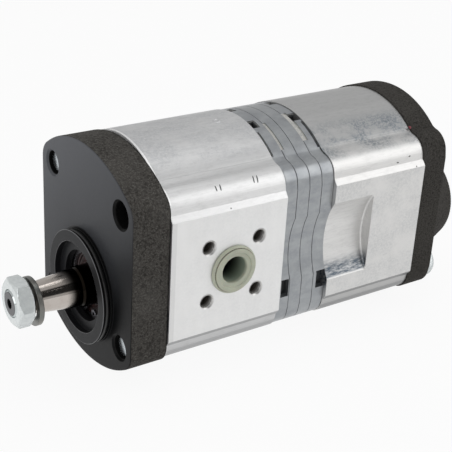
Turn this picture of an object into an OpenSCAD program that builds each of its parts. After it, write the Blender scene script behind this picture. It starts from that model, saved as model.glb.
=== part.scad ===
// Tandem external gear pump: two gear sections on one drive line, in millimetres.
// Origin: on the drive axis, at the mounting face of the flange. +X runs back through the pump,
// -Y is the side with the front pressure port, +Z is up.

/* [Mounting flange] */
// Thickness of the flange
flange_t = 17.1; // [14:0.1:24]
// Distance from the fixing holes' centres out to the flange's sides
flange_side_w = 10; // [8:0.5:16]
// Distance from the fixing holes' centres up to the flange's top
flange_top_h = 19.2; // [16:0.2:24]
// Radius of the flange's top and bottom edges
flange_crown_r = 61; // [56:0.5:80]
// Radius of the flange's corners
flange_corner_r = 9; // [6:0.5:12]
// Radius of the pilot
pilot_r = 25; // [24:0.5:28]
// Height of the pilot above the mounting face
pilot_h = 4.5; // [4:0.1:7]
// Radius of the recess in the pilot's face
recess_r = 20; // [18:0.5:21.5]
// Depth of the recess in the pilot's face
recess_depth = 3; // [1:0.1:3.5]
// Section diameter of the pilot's O-ring
o_ring_d = 2.4; // [1.6:0.1:2.8]

/* [Fixing holes] */
// Distance between fixing holes, the same across and up
fixing_pitch = 60; // [56:0.5:64]
// Radius of the open mounting holes, which run through the whole pump
mount_hole_r = 5.5; // [4.5:0.1:6.5]
// Radius of the through bolts
bolt_r = 5; // [4:0.1:6]
// Radial clearance round the through bolts in bodies, plates and cover
bolt_clearance = 0.25; // [0.2:0.05:1]
// Radius of the bolt heads
bolt_head_r = 8; // [7:0.1:9]
// Height of the bolt heads
bolt_head_h = 10; // [8:0.5:12]
// Width across the flats of the bolt heads' sockets
bolt_socket_w = 8; // [6:0.5:10]
// Distance from the bolts' ends to the mounting face
bolt_end_inset = 1.5; // [0.5:0.1:4]
// Chamfer at the mouth of each fixing hole
hole_chamfer = 1; // [0.3:0.1:1.5]

/* [Bodies and plates] */
// Length of the front body
front_body_l = 56.2; // [50:0.2:80]
// Length of the rear body
rear_body_l = 51.4; // [46:0.2:80]
// Thickness of each intermediate plate
plate_t = 6.525; // [6:0.025:9]
// Thickness of the rear cover's base
cover_t = 14.2; // [12:0.2:20]
// Radius of the shoulders round the fixing holes
shoulder_r = 8.8; // [8:0.1:9.2]
// Step from the shoulders out to the bodies' sides
side_step = 0.5; // [0.2:0.1:2]
// Distance from the fixing holes' centres up to the top of the bodies
crown_h = 20.3; // [18:0.1:24]
// Distance from the fixing holes' centres in to the edges of the crown
crown_inset = 1.5; // [1:0.1:3]
// Step from the top of the shoulders up to the edge of the crown
crown_step = 0.9; // [0.3:0.1:1.5]
// Height of the port pads above the bodies' sides
pad_h = 1.7; // [0.5:0.1:3]
// Half the height of the port pads
pad_half_h = 27; // [24:0.5:28]
// How far the plates lie inside the bodies' outline
plate_inset = 0.4; // [0.2:0.1:0.8]
// Depth of the hollow waist in the plates' sides
waist_depth = 3; // [1:0.2:4]
// Radius of the hollow waist in the plates' sides
waist_r = 39; // [34:1:60]

/* [Gears and bearings] */
// Distance between the two gear axes
centre_distance = 30; // [29:0.5:31]
// Number of teeth on each gear
teeth = 12; // [11:1:13]
// Pressure angle of the teeth
pressure_angle = 25; // [24:1:27]
// Width of the front gears
front_gear_w = 22; // [12:0.5:26]
// Width of the rear gears
rear_gear_w = 16; // [8:0.5:22]
// Radius of the gears' journals
journal_r = 9; // [8:0.1:9.4]
// Wall of the bearing bushes
bush_wall = 1.45; // [1:0.05:2]
// Radial running clearance of journals, gear tips and blocks
running_gap = 0.05; // [0.02:0.01:0.08]
// How far the bushes stop short of the blocks' faces
bush_inset = 0.5; // [0.2:0.1:1.5]
// Radius of the coupler
coupler_r = 11.5; // [11:0.1:12]
// Depth of each slot in the coupler
coupler_slot = 6; // [4:0.2:7]
// Thickness of the driving tangs
tang_w = 8; // [6:0.2:9]
// Clearance round the coupler, its slots and its ends
coupler_gap = 0.3; // [0.2:0.05:0.5]

/* [Drive shaft] */
// Distance from the mounting face to the big end of the taper
taper_start = 5; // [4:0.1:8]
// Radius of the taper's big end
taper_r = 8.5; // [7.5:0.1:9]
// Length of the taper
taper_l = 18.5; // [16:0.5:24]
// Taper of the shaft: length for each unit of diameter
taper_ratio = 5; // [5:1:10]
// Radius of the shaft's thread
thread_r = 6; // [5:0.1:6.2]
// Length of the shaft's thread
thread_l = 11; // [10:0.5:16]
// Radius of the centre hole in the shaft's end
centre_hole_r = 2.2; // [1.5:0.1:3]
// Width of the Woodruff key
key_w = 4; // [3:0.5:5]
// Radius of the Woodruff key
key_r = 6.5; // [5:0.25:7]
// How far the key stands out of the taper
key_proud = 2; // [1:0.1:2.5]
// Width across the flats of the shaft nut
nut_w = 19; // [17:0.5:22]
// Thickness of the shaft nut
nut_t = 7; // [5:0.2:8]
// How far the shaft's end stands out of the nut
nut_inset = 0.5; // [0:0.1:1]
// Outer radius of the lock washer
washer_r = 10.6; // [9.5:0.1:12]
// Inner radius of the lock washer
washer_bore_r = 7.2; // [6.8:0.1:7.8]
// Thickness of the lock washer
washer_t = 2.6; // [2:0.1:3]
// Width of the split in the lock washer
washer_split = 2.4; // [1:0.1:3]

/* [Shaft seal] */
// Radius of the seal's bore in the flange
seal_r = 15.5; // [14.5:0.1:17]
// Width of the shaft seal
seal_w = 7; // [6:0.2:8]
// Depth of the seal's front face below the mounting face
seal_depth = 3.2; // [2.8:0.1:4]
// Thickness of the circlip
circlip_t = 1.2; // [1:0.1:1.4]
// Width of the circlip's ring
circlip_w = 2.4; // [2:0.1:3]
// Depth of the circlip's groove
circlip_groove = 0.8; // [0.4:0.1:1]
// Radius of the circlip's eyes
circlip_eye_r = 2; // [1.6:0.1:2.4]
// Angle between the circlip's eyes
circlip_open_angle = 36; // [30:1:50]
// Radius of the shaft's passage behind the seal
shaft_passage_r = 11; // [10.5:0.1:13]

/* [Ports] */
// Distance from the front body's front face to its port centre
front_port_inset = 30.4; // [28:0.2:32]
// Radius of the pressure ports
pressure_port_r = 7.5; // [6.5:0.1:8]
// Radius of the suction ports
suction_port_r = 9; // [8:0.1:10]
// Distance between the threaded holes round the pressure port
pressure_hole_pitch = 24.75; // [24:0.05:27]
// Distance between the threaded holes round each suction port
suction_hole_pitch = 28.3; // [27:0.05:32]
// Radius of the threaded holes round the ports
port_hole_r = 3; // [2.5:0.1:3.5]
// Depth of the threaded holes round the ports
port_hole_depth = 13; // [10:0.5:15]
// Chamfer at the mouth of each threaded hole
port_hole_chamfer = 0.5; // [0.2:0.1:1]

/* [Transport plugs] */
// How far a plug's flange reaches past its port's wall
plug_flange_w = 3.3; // [2.5:0.1:3.6]
// Height of a plug's flange
plug_h = 2; // [1.5:0.1:3]
// Length of a plug's spigot
plug_spigot = 12; // [8:0.5:14]
// Wall of a plug
plug_wall = 1.45; // [1:0.05:2]

/* [Hollow in the rear body] */
// Radius of the milled hollow
hollow_r = 33; // [26:1:40]
// Depth of the milled hollow below the pad
hollow_depth = 5.8; // [3:0.2:7]
// Length of the milled hollow
hollow_l = 22.1; // [18:0.5:26]
// Corner radius at the hollow's closed end
hollow_corner_r = 0.8; // [0.4:0.2:3]

/* [Rear cover's boss] */
// How far the cover's rim stands out past the bodies
cover_lip = 0.7; // [0.2:0.1:1]
// Height of the boss above the cover's base
boss_h = 28; // [20:0.5:32]
// Radius of the boss at the cover's base
boss_base_r = 33.4; // [30:0.2:34]
// Radius of the boss at its top
boss_top_r = 23; // [18:0.2:25]
// Height of the boss's axis above the drive axis
boss_z = 3.9; // [2:0.1:6]
// Radius of the boss's rounded edge
boss_edge_r = 2.5; // [2:0.5:6]
// Radius of the fillet at the boss's foot
boss_foot_r = 4; // [2:0.5:5]
// Radius of the oil channels in the rear section
channel_r = 3.5; // [2.5:0.1:4]

/* [Body seals and dowels] */
// Width of the body seals
body_seal_w = 2.2; // [1.6:0.1:3]
// Thickness of the body seals
body_seal_t = 1.75; // [1.2:0.05:2.2]
// Distance from the gear chambers to the body seals
body_seal_inset = 2.8; // [2:0.1:3.6]
// Radius of the dowel pins
dowel_r = 2.5; // [2:0.1:3]
// Length that each dowel pin reaches into each side
dowel_reach = 6; // [4:0.5:8]
// Distance from the gears' plane to each dowel pin
dowel_y = 28; // [27:0.5:30]

/* [Pockets and rebates in the plates' rims] */
// Depth of the pockets in the outer plates
pocket_depth = 3.4; // [2:0.2:4]
// Width of the pockets, along the pump
pocket_w = 4; // [3:0.2:5]
// Angle that each pocket spans
pocket_angle = 7; // [4:1:9]
// Height of the pockets in the outer plates' sides
pocket_h = 7; // [4:0.5:9]
// How far those pockets lie below the middle of the plates
pocket_drop = 18; // [14:0.5:22]
// Depth of the rebates in the plates' rims
rebate_depth = 0.8; // [0.3:0.1:1.5]
// Width of the rebates, along the pump
rebate_w = 1.4; // [0.5:0.1:2.5]
// Depth of the gaps beside the bodies
gap_depth = 1.2; // [0.5:0.1:2]
// Width of the gaps beside the bodies
gap_w = 0.8; // [0.3:0.1:1.5]

/* [Hidden] */
$fn = 96;
// Length by which a cutting body passes the face it cuts
cut = 1;
// Faces along the pump
front_body_x = flange_t;
plates_x = front_body_x + front_body_l;
rear_body_x = plates_x + 4 * plate_t;
cover_x = rear_body_x + rear_body_l;
cover_back_x = cover_x + cover_t;
boss_back_x = cover_back_x + boss_h;
// Mid height of the castings, between the gear axes
mid_z = centre_distance / 2;
fixing_half = fixing_pitch / 2;
flange_half_w = fixing_half + flange_side_w;
flange_half_h = fixing_half + flange_top_h;
body_half_w = fixing_half + shoulder_r + side_step;
body_half_h = fixing_half + crown_h;
crown_half_w = fixing_half - crown_inset;
pad_y = body_half_w + pad_h;
// The slope from a pad to the body's side: how high it is and where it ends
pad_slope_h = 2.5;
pad_slope_inset = 0.2;
// How far below the fixing holes' centres a plain section's straight sides end
plain_side_drop = 2;
// The crown is the arc through its two edges and the top of the body
crown_edge_z = fixing_half + shoulder_r + crown_step;
crown_rise = body_half_h - crown_edge_z;
crown_r = (crown_half_w * crown_half_w + crown_rise * crown_rise) / (2 * crown_rise);
// Threaded ends of the through bolts turn in the flange with this radial gap
thread_gap = 0.05;
bolt_hole_r = bolt_r + bolt_clearance;
bolt_seat_x = cover_back_x - bolt_head_h / 2;
bolt_head_x = bolt_seat_x + bolt_head_h;
// Radial room round the bolt heads
bolt_seat_gap = 0.3;
bolt_seat_r = bolt_head_r + bolt_seat_gap;
bolt_head_chamfer = 0.8;
bolt_head_top_r = bolt_head_r - bolt_head_chamfer;
bolt_end_chamfer = 0.6;
// The bolts stand on one diagonal and the open mounting holes on the other
bolt_places = [[fixing_half, mid_z + fixing_half], [-fixing_half, mid_z - fixing_half]];
mount_places = [[-fixing_half, mid_z + fixing_half], [fixing_half, mid_z - fixing_half]];
// Gears
module_size = centre_distance / teeth;
pitch_r = centre_distance / 2;
tip_r = pitch_r + module_size;
root_r = pitch_r - 1.25 * module_size;
base_r = pitch_r * cos(pressure_angle);
backlash = 0.06;
// Angles that put a tooth of the lower gear into a gap of the upper one
drive_angle = 90;
driven_angle = -90 + 180 / teeth;
chamber_r = tip_r + running_gap;
bush_bore_r = journal_r + running_gap;
bush_r = bush_bore_r + bush_wall;
front_block_l = (front_body_l - front_gear_w) / 2 - running_gap;
rear_block_l = (rear_body_l - rear_gear_w) / 2 - running_gap;
front_gear_x = front_body_x + front_block_l + running_gap;
rear_gear_x = rear_body_x + rear_block_l + running_gap;
// Length by which a journal stops short of the casting at its end
journal_gap = 0.3;
// Coupler, in the middle of the plates
plates_mid_x = plates_x + 2 * plate_t;
// Distance from each end of the coupler to the body beside it
coupler_inset = 3.3;
coupler_l = 4 * plate_t - 2 * coupler_inset;
coupler_x = plates_mid_x - coupler_l / 2;
tang_l = coupler_slot - coupler_gap;
coupler_bore_r = coupler_r + 2 * coupler_gap;
// Drive shaft's front end
taper_end_x = -taper_start - taper_l;
thread_end_x = taper_end_x - thread_l;
taper_end_r = taper_r - taper_l / (2 * taper_ratio);
shaft_chamfer = 1;
key_x = (taper_end_x - taper_start) / 2;
// The key's flat top, and its height below that
key_top_y = (taper_r + taper_end_r) / 2 + key_proud;
key_h = key_r - 0.5;
key_gap = 0.02;
nut_x = thread_end_x + nut_inset;
nut_corner_r = nut_w / 2 / cos(30);
// Bevel on the nut's corners: across and along the shaft
nut_bevel_w = 0.4;
nut_bevel_l = 1.1;
nut_thread_gap = 0.02;
nut_countersink = 0.8;
washer_x = taper_end_x - washer_t / 2;
// Seal bore
seal_back_x = seal_depth + seal_w;
circlip_gap = 0.1;
circlip_x = seal_depth - circlip_t - 2 * circlip_gap;
// Sides of the gap that is cut out of the circlip's ring, between its eyes
circlip_cut_half = circlip_open_angle / 2 - 4;
circlip_cut_y = 2 * seal_r * sin(circlip_cut_half);
circlip_cut_z = 2 * seal_r * cos(circlip_cut_half);
pilot_groove_x = -pilot_h / 2 - o_ring_d / 2;
// Ports
front_port_x = front_body_x + front_port_inset;
rear_port_x = rear_body_x + rear_body_l / 2;
// Flange of a plug: height of its upright edge, width of its bevel, its inner step and its moulding mark
plug_edge_h = 0.45 * plug_h;
plug_bevel_w = 1.1;
plug_step_h = 0.7 * plug_h;
plug_lip_w = 0.6;
plug_mark_r = 0.8;
plug_mark_angle = 215;
// Distance from the gear chambers' sides in to the channel on the pressure side
channel_inset = 2.5;
rear_channel_y = channel_inset - chamber_r;
rear_channel_x = cover_x + cover_t / 2;
// Length by which one channel passes the side of the channel that it meets
channel_pass = 0.5;
// Radii of a compensation seal in the outer face of a bearing block
comp_seal_inset = 1.3;
comp_seal_w = 2;
comp_seal_t = 1.4;
comp_seal_out_r = tip_r - comp_seal_inset;
comp_seal_in_r = comp_seal_out_r - comp_seal_w;
// Room round a soft seal in its groove
seal_gap = 0.1;
body_seal_r = chamber_r + body_seal_inset;
// Angles from the top, positive towards -Y, at which the outer plates' pockets begin
pocket_starts = [10, -28];
waist_y = body_half_w - plate_inset - waist_depth + waist_r;
pocket_z = mid_z - pocket_drop;
// Angles from the top that the rebates and gaps span: start and end
plate_2_rebate = [16, 36];
plate_4_rebate = [8, 36];
front_gap = [21, 40];
rear_gap = [19, 38];

// Points on an arc about c from angle a0 to angle a1
function arc(c, r, a0, a1, n) =
    [for (i = [0:n]) let (a = a0 + (a1 - a0) * i / n) [c[0] + r * cos(a), c[1] + r * sin(a)]];

function reversed(points) = [for (i = [len(points) - 1:-1:0]) points[i]];

// The whole outline from its upper right quarter, which runs from the side up to the crown
function from_quarter(q) = concat(
    q,
    [for (p = reversed(q)) [-p[0], p[1]]],
    [for (p = q) [-p[0], -p[1]]],
    [for (p = reversed(q)) [p[0], -p[1]]]
);

// Shoulder and crown shared by bodies, plates and cover, about the middle of the section
function shoulder_and_crown(inset) =
    let (r = crown_r - inset, c = [0, body_half_h - crown_r], a = acos((crown_half_w - inset) / r))
    concat(
        arc([fixing_half, fixing_half], shoulder_r - inset, 10, 95, 12),
        arc(c, r, a, 90, 16)
    );

// Section of a body, with its port pads
function body_section() = from_quarter(concat(
    [[pad_y, pad_half_h], [body_half_w - pad_slope_inset, pad_half_h + pad_slope_h]],
    shoulder_and_crown(0)
));

// Plain section of a plate or the cover
function plain_section(inset) = from_quarter(concat(
    [[body_half_w - inset, fixing_half - plain_side_drop]],
    shoulder_and_crown(inset)
));

// Section of the flange: straight sides, round corners and a wide arc at top and bottom
function flange_section() =
    let (
        c = flange_half_h - flange_crown_r,
        y = flange_half_w - flange_corner_r,
        z = c + sqrt(pow(flange_crown_r - flange_corner_r, 2) - y * y),
        a = atan2(z - c, y)
    )
    from_quarter(concat(
        arc([y, z], flange_corner_r, 0, a, 10),
        arc([0, c], flange_crown_r, a + 1, 90, 14)
    ));

// Involute function in degrees
function inv(a) = tan(a) * 180 / PI - a;

// Half the angle that a tooth spans at radius r
function half_tooth(r) =
    90 / teeth + inv(pressure_angle) - inv(acos(min(1, base_r / r))) - backlash / pitch_r * 180 / PI;

// Point at radius r on one flank of a tooth along angle a. The flank at radius at_r gives its angle
function flank_point(a, side, r, at_r) =
    let (b = a + side * half_tooth(at_r)) [r * cos(b), r * sin(b)];

// Points of one flank, from the root circle straight up to the base circle and out to the tip
function flank(a, side, n) = concat(
    [flank_point(a, side, root_r, base_r)],
    [for (i = [0:n]) let (r = base_r + (tip_r - base_r) * i / n) flank_point(a, side, r, r)]
);

// Points of one tooth that points along angle a
function tooth(a, n) = concat(flank(a, -1, n), reversed(flank(a, 1, n)));

// Turns a flat drawing in Y and Z into the plane at x, and its height along X
module along_x(x) translate([x, 0, 0]) rotate([90, 0, 90]) children();

// Round bar along X from x0 to x1, about the point [y, z]
module bar(x0, x1, r, at = [0, 0]) along_x(x0) translate([at[0], at[1], 0]) cylinder(h = x1 - x0, r = r);

// Conical bar along X
module cone(x0, x1, r0, r1, at = [0, 0])
    along_x(x0) translate([at[0], at[1], 0]) cylinder(h = x1 - x0, r1 = r0, r2 = r1);

// Turned shape about an axis along X from a profile of [radius, distance from x]
module turned(x, profile, at = [0, 0])
    along_x(x) translate([at[0], at[1], 0]) rotate_extrude() polygon(profile);

// Plate of a given outline, centred on the middle of the section
module slab(x0, x1, points)
    along_x(x0) translate([0, mid_z, 0]) linear_extrude(x1 - x0) polygon(points);

// Two discs on the gear axes
module figure_eight(r) {
    circle(r = r);
    translate([0, centre_distance]) circle(r = r);
}

// Outline that runs straight round both gear axes
module racetrack(r) {
    figure_eight(r);
    translate([-r, 0]) square([2 * r, centre_distance]);
}

// Bore with a chamfered mouth that opens towards -X at x0
module chamfered_bore(x0, x1, r, at) {
    bar(x0 - cut, x1, r, at);
    cone(x0 - cut, x0 + hole_chamfer, r + hole_chamfer + cut, r, at);
}

// The four fixing channels through bodies, plates and cover
module fixing_channels(x0, x1) {
    for (p = bolt_places) bar(x0 - cut, x1 + cut, bolt_hole_r, p);
    for (p = mount_places) bar(x0 - cut, x1 + cut, mount_hole_r, p);
}

// Holes for the dowel pins, round the joint face at x
module dowel_holes(x)
    for (s = [-1, 1]) bar(x - dowel_reach, x + dowel_reach, dowel_r, [s * dowel_y, mid_z]);

// Groove or ring of a body seal between x0 and x1, widened by gap
module seal_ring(x0, x1, gap)
    along_x(x0) linear_extrude(x1 - x0) difference() {
        racetrack(body_seal_r + body_seal_w + gap);
        racetrack(body_seal_r - gap);
    }

// Two gear chambers through a body
module chambers(x0, x1) along_x(x0 - cut) linear_extrude(x1 - x0 + 2 * cut) figure_eight(chamber_r);

// Threaded hole that is drilled along +Z from the origin
module threaded_hole()
    translate([0, 0, -cut]) {
        cylinder(h = port_hole_depth + cut, r = port_hole_r);
        cylinder(h = port_hole_chamfer + cut, r1 = port_hole_r + port_hole_chamfer + cut, r2 = port_hole_r);
    }

// Port bore from a pad inwards, with its four threaded holes. side is -1 or 1
module port(x, r, pitch, side) {
    translate([x, side * pad_y / 2, mid_z]) rotate([90, 0, 0])
        cylinder(h = pad_y + cut, r = r, center = true);
    for (i = [-1, 1], j = [-1, 1])
        translate([x + i * pitch / 2, side * pad_y, mid_z + j * pitch / 2]) rotate([side * 90, 0, 0])
            threaded_hole();
}

// Flat drawing of a gear with a tooth along angle a
module gear_section(a)
    polygon([for (i = [0:teeth - 1]) each tooth(a + i * 360 / teeth, 7)]);

module gear_teeth(x, w, a, at) along_x(x) translate(at) linear_extrude(w) gear_section(a);

// Driven gear with its two journals, between the castings at x0 and x1
module driven_gear(x0, x1, gear_x, w) color([0.62, 0.63, 0.65]) {
    gear_teeth(gear_x, w, driven_angle, [0, centre_distance]);
    bar(x0 + journal_gap, x1 - journal_gap, journal_r, [0, centre_distance]);
}

// Tang at the end of a shaft: a flat across the journal. flat_angle turns it about the shaft
module tang(x0, x1, flat_angle)
    intersection() {
        bar(x0, x1, journal_r);
        translate([(x0 + x1) / 2, 0, 0]) rotate([flat_angle, 0, 0])
            cube([x1 - x0, tang_w, 4 * journal_r], center = true);
    }

// Bearing block. seal_side is -1 when its outer face looks towards -X
module bearing_block(x, l, seal_side) color([0.72, 0.72, 0.7])
    difference() {
        along_x(x) linear_extrude(l) figure_eight(tip_r);
        for (z = [0, centre_distance]) bar(x - cut, x + l + cut, bush_r, [0, z]);
        pressure_seal(seal_side < 0 ? x - cut : x + l - comp_seal_t, comp_seal_t + cut, seal_gap);
    }

// Three-shaped compensation seal that lies on the pressure side, widened by gap
module pressure_seal(x, t, gap)
    along_x(x) linear_extrude(t) intersection() {
        difference() {
            figure_eight(comp_seal_out_r + gap);
            figure_eight(comp_seal_in_r - gap);
        }
        translate([-2 * tip_r - 2 + gap, -2 * tip_r]) square([2 * tip_r, centre_distance + 4 * tip_r]);
    }

module front_driven_gear() driven_gear(front_body_x, plates_x, front_gear_x, front_gear_w);

module rear_driven_gear() driven_gear(rear_body_x, cover_x, rear_gear_x, rear_gear_w);

module front_block_a() bearing_block(front_body_x, front_block_l, -1);

module front_block_b() bearing_block(plates_x - front_block_l, front_block_l, 1);

module rear_block_a() bearing_block(rear_body_x, rear_block_l, -1);

module rear_block_b() bearing_block(cover_x - rear_block_l, rear_block_l, 1);

module bushes(x, l) color([0.55, 0.45, 0.32])
    for (z = [0, centre_distance])
        difference() {
            bar(x + bush_inset, x + l - bush_inset, bush_r, [0, z]);
            bar(x - cut, x + l + cut, bush_bore_r, [0, z]);
        }

// Half section of a plug from its axis: a cup with a bevelled flange and a stepped rim
function plug_profile(r) = [
    [0, -plug_spigot], [r - running_gap, -plug_spigot], [r - running_gap, 0], [r + plug_flange_w, 0],
    [r + plug_flange_w, plug_edge_h], [r + plug_flange_w - plug_bevel_w, plug_h], [r + plug_lip_w, plug_h],
    [r + plug_lip_w, plug_step_h], [r - plug_wall, plug_step_h],
    [r - plug_wall, plug_wall - plug_spigot], [0, plug_wall - plug_spigot]
];

// Transport plug about its own axis: h is up out of the port, r is the port's radius
module plug(r) color([0.66, 0.71, 0.66])
    union() {
        rotate_extrude() polygon(plug_profile(r));
        rotate(plug_mark_angle) translate([r + plug_flange_w - 1, 0, 0])
            cylinder(h = plug_h, r = plug_mark_r);
    }

module side_plug(x, r, side)
    translate([x, side * pad_y, mid_z]) rotate([-side * 90, 0, 0]) plug(r);

module front_flange() color([0.2, 0.2, 0.21])
    difference() {
        union() {
            slab(0, flange_t, flange_section());
            bar(-pilot_h, cut, pilot_r);
        }
        bar(-pilot_h - cut, recess_depth - pilot_h, recess_r);
        bar(-pilot_h, seal_back_x, seal_r);
        bar(circlip_x - circlip_gap, circlip_x + circlip_t + circlip_gap, seal_r + circlip_groove);
        bar(0, flange_t + cut, shaft_passage_r);
        turned(pilot_groove_x, [
            [pilot_r - o_ring_d, 0], [pilot_r + cut, 0],
            [pilot_r + cut, o_ring_d], [pilot_r - o_ring_d, o_ring_d]
        ]);
        for (p = mount_places) chamfered_bore(0, flange_t + cut, mount_hole_r, p);
        for (p = bolt_places) chamfered_bore(0, flange_t + cut, bolt_r + thread_gap, p);
        seal_ring(flange_t - body_seal_t, flange_t + cut, seal_gap);
        dowel_holes(flange_t);
    }

module pilot_o_ring() color([0.06, 0.06, 0.06])
    along_x(-pilot_h / 2) rotate_extrude()
        translate([pilot_r - o_ring_d / 2 - 0.05, 0]) circle(d = o_ring_d - 0.1);

// Lip seal: a case with a web at its front and a lip that leans inwards on the shaft
module shaft_seal() color([0.3, 0.16, 0.12])
    turned(seal_depth, [
        [seal_r, 0], [seal_r, seal_w], [seal_r - 1.2, seal_w], [seal_r - 1.2, 1.6], [journal_r + 2.4, 1.6],
        [journal_r + 1.8, seal_w * 0.75], [journal_r + running_gap, seal_w * 0.6], [journal_r + 0.8, 0]
    ]);

// Internal circlip, open at the bottom, with an eye at each end
module seal_circlip() color([0.45, 0.45, 0.47])
    along_x(circlip_x) linear_extrude(circlip_t) {
        difference() {
            circle(r = seal_r + circlip_groove - circlip_gap);
            circle(r = seal_r + circlip_groove - circlip_w);
            polygon([[0, 0], [-circlip_cut_y, -circlip_cut_z], [circlip_cut_y, -circlip_cut_z]]);
        }
        for (s = [-1, 1])
            rotate(-90 + s * circlip_open_angle / 2) translate([seal_r - circlip_eye_r, 0]) difference() {
                circle(r = circlip_eye_r);
                circle(r = circlip_eye_r * 0.45);
            }
    }

module drive_shaft() color([0.66, 0.66, 0.67])
    difference() {
        union() {
            cone(taper_end_x, -taper_start, taper_end_r, taper_r);
            bar(thread_end_x + shaft_chamfer, taper_end_x + cut, thread_r);
            cone(thread_end_x, thread_end_x + shaft_chamfer, thread_r - shaft_chamfer, thread_r);
            cone(-taper_start, shaft_chamfer - taper_start, taper_r, journal_r);
            bar(shaft_chamfer - taper_start, coupler_x - coupler_gap, journal_r);
            gear_teeth(front_gear_x, front_gear_w, drive_angle, [0, 0]);
            tang(coupler_x - coupler_gap - cut, coupler_x + tang_l, 0);
        }
        cone(thread_end_x - 0.1, thread_end_x + centre_hole_r * 1.7, centre_hole_r, 0.1);
        key_blank(key_gap);
    }

// The key is part of a disc that is cut flat at its top
module key_blank(gap)
    intersection() {
        translate([key_x, key_top_y - key_h + key_r, 0])
            cylinder(h = key_w + 2 * gap, r = key_r + gap, center = true);
        translate([key_x, key_top_y - key_h / 2, 0])
            cube([3 * key_r, key_h + 2 * gap, 2 * key_w], center = true);
    }

module woodruff_key() color([0.5, 0.5, 0.52]) key_blank(0);

// Split spring washer that hangs on the thread, so that it lies low
module lock_washer() color([0.3, 0.3, 0.3])
    translate([washer_x, 0, thread_r + nut_thread_gap - washer_bore_r]) rotate([90, 0, 90])
        linear_extrude(washer_t, center = true) difference() {
            circle(r = washer_r);
            circle(r = washer_bore_r);
            rotate(-72) translate([0, -washer_split / 2]) square([2 * washer_r, washer_split]);
        }

module shaft_nut() color([0.78, 0.8, 0.82])
    difference() {
        intersection() {
            along_x(nut_x) rotate(90) cylinder(h = nut_t, r = nut_corner_r, $fn = 6);
            turned(nut_x, [
                [0, 0], [nut_w / 2 - nut_bevel_w, 0], [nut_corner_r + 0.1, nut_bevel_l],
                [nut_corner_r + 0.1, nut_t - nut_bevel_l], [nut_w / 2 - nut_bevel_w, nut_t], [0, nut_t]
            ]);
        }
        bar(nut_x - cut, nut_x + nut_t + cut, thread_r + nut_thread_gap);
        cone(nut_x - cut, nut_x + nut_countersink, thread_r + nut_countersink + cut, thread_r);
    }

module front_body() color([0.78, 0.79, 0.8])
    difference() {
        slab(front_body_x, plates_x, body_section());
        chambers(front_body_x, plates_x);
        fixing_channels(front_body_x, plates_x);
        port(front_port_x, pressure_port_r, pressure_hole_pitch, -1);
        port(front_port_x, suction_port_r, suction_hole_pitch, 1);
        dowel_holes(front_body_x);
        dowel_holes(plates_x);
    }

module rear_body() color([0.72, 0.74, 0.76])
    difference() {
        slab(rear_body_x, cover_x, body_section());
        chambers(rear_body_x, cover_x);
        fixing_channels(rear_body_x, cover_x);
        port(rear_port_x, suction_port_r, suction_hole_pitch, 1);
        side_hollow();
        bar(rear_port_x, cover_x + cut, channel_r, [rear_channel_y, mid_z]);
        dowel_holes(rear_body_x);
        dowel_holes(cover_x);
    }

// Milled hollow in the pad: part of a drum whose closed end has a round corner
module side_hollow()
    turned(rear_body_x - cut, concat(
        [[0, 0], [hollow_r, 0]],
        arc([hollow_r - hollow_corner_r, hollow_l + cut - hollow_corner_r], hollow_corner_r, 0, 90, 8),
        [[0, hollow_l + cut]]
    ), [hollow_depth - pad_y - hollow_r, mid_z]);

// Cut in the rim of a plate between two angles from the top
module rim_cut(x0, x1, angles, depth)
    along_x(x0) translate([0, mid_z + body_half_h - crown_r, 0]) linear_extrude(x1 - x0) difference() {
        polygon(concat([[0, 0]], arc([0, 0], 1.1 * crown_r, 90 + angles[0], 90 + angles[1], 4)));
        circle(r = crown_r - plate_inset - depth);
    }

// The pockets in the rim of an outer plate: two at the top, and the same turned half round
module rim_pockets(x0, x1)
    for (turn = [0, 1]) translate([0, 0, 2 * turn * mid_z]) rotate([180 * turn, 0, 0])
        for (a = pocket_starts) rim_cut(x0, x1, [a, a + pocket_angle], pocket_depth);

// Plate number n of the stack, counted from the front
module plate_blank(n)
    difference() {
        slab(plates_x + (n - 1) * plate_t, plates_x + n * plate_t, plain_section(plate_inset));
        for (s = [-1, 1]) bar(plates_x - cut, rear_body_x + cut, waist_r, [s * waist_y, mid_z]);
        bar(plates_x - cut, rear_body_x + cut, coupler_bore_r);
        fixing_channels(plates_x, rear_body_x);
        plate_dowel_holes();
    }

// Holes for the pins that line up the plates, and for those that reach in from the bodies
module plate_dowel_holes() {
    dowel_holes(plates_x);
    dowel_holes(rear_body_x);
}

// Pocket in a plate's side towards -Y
module side_pocket(x0, x1)
    translate([(x0 + x1) / 2, -body_half_w, pocket_z])
        cube([x1 - x0, 2 * pocket_depth, pocket_h], center = true);

module intermediate_plate_1() color([0.6, 0.62, 0.64])
    difference() {
        plate_blank(1);
        seal_ring(plates_x - cut, plates_x + body_seal_t, seal_gap);
        rim_pockets(plates_x - cut, plates_x + pocket_w);
        rim_cut(plates_x - cut, plates_x + gap_w, front_gap, gap_depth);
        side_pocket(plates_x + pocket_w / 2, plates_x + pocket_w * 1.5);
    }

module intermediate_plate_2() color([0.6, 0.62, 0.64])
    difference() {
        plate_blank(2);
        rim_cut(plates_x + plate_t - cut, plates_x + plate_t + rebate_w, plate_2_rebate, rebate_depth);
    }

module intermediate_plate_3() color([0.6, 0.62, 0.64]) plate_blank(3);

module intermediate_plate_4() color([0.6, 0.62, 0.64])
    difference() {
        plate_blank(4);
        seal_ring(rear_body_x - body_seal_t, rear_body_x + cut, seal_gap);
        rim_pockets(rear_body_x - pocket_w, rear_body_x + cut);
        rim_cut(rear_body_x - plate_t - cut, rear_body_x - plate_t + rebate_w, plate_4_rebate, rebate_depth);
        rim_cut(rear_body_x - gap_w, rear_body_x + cut, rear_gap, gap_depth);
        side_pocket(rear_body_x - pocket_w - gap_w, rear_body_x + cut);
    }

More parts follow.
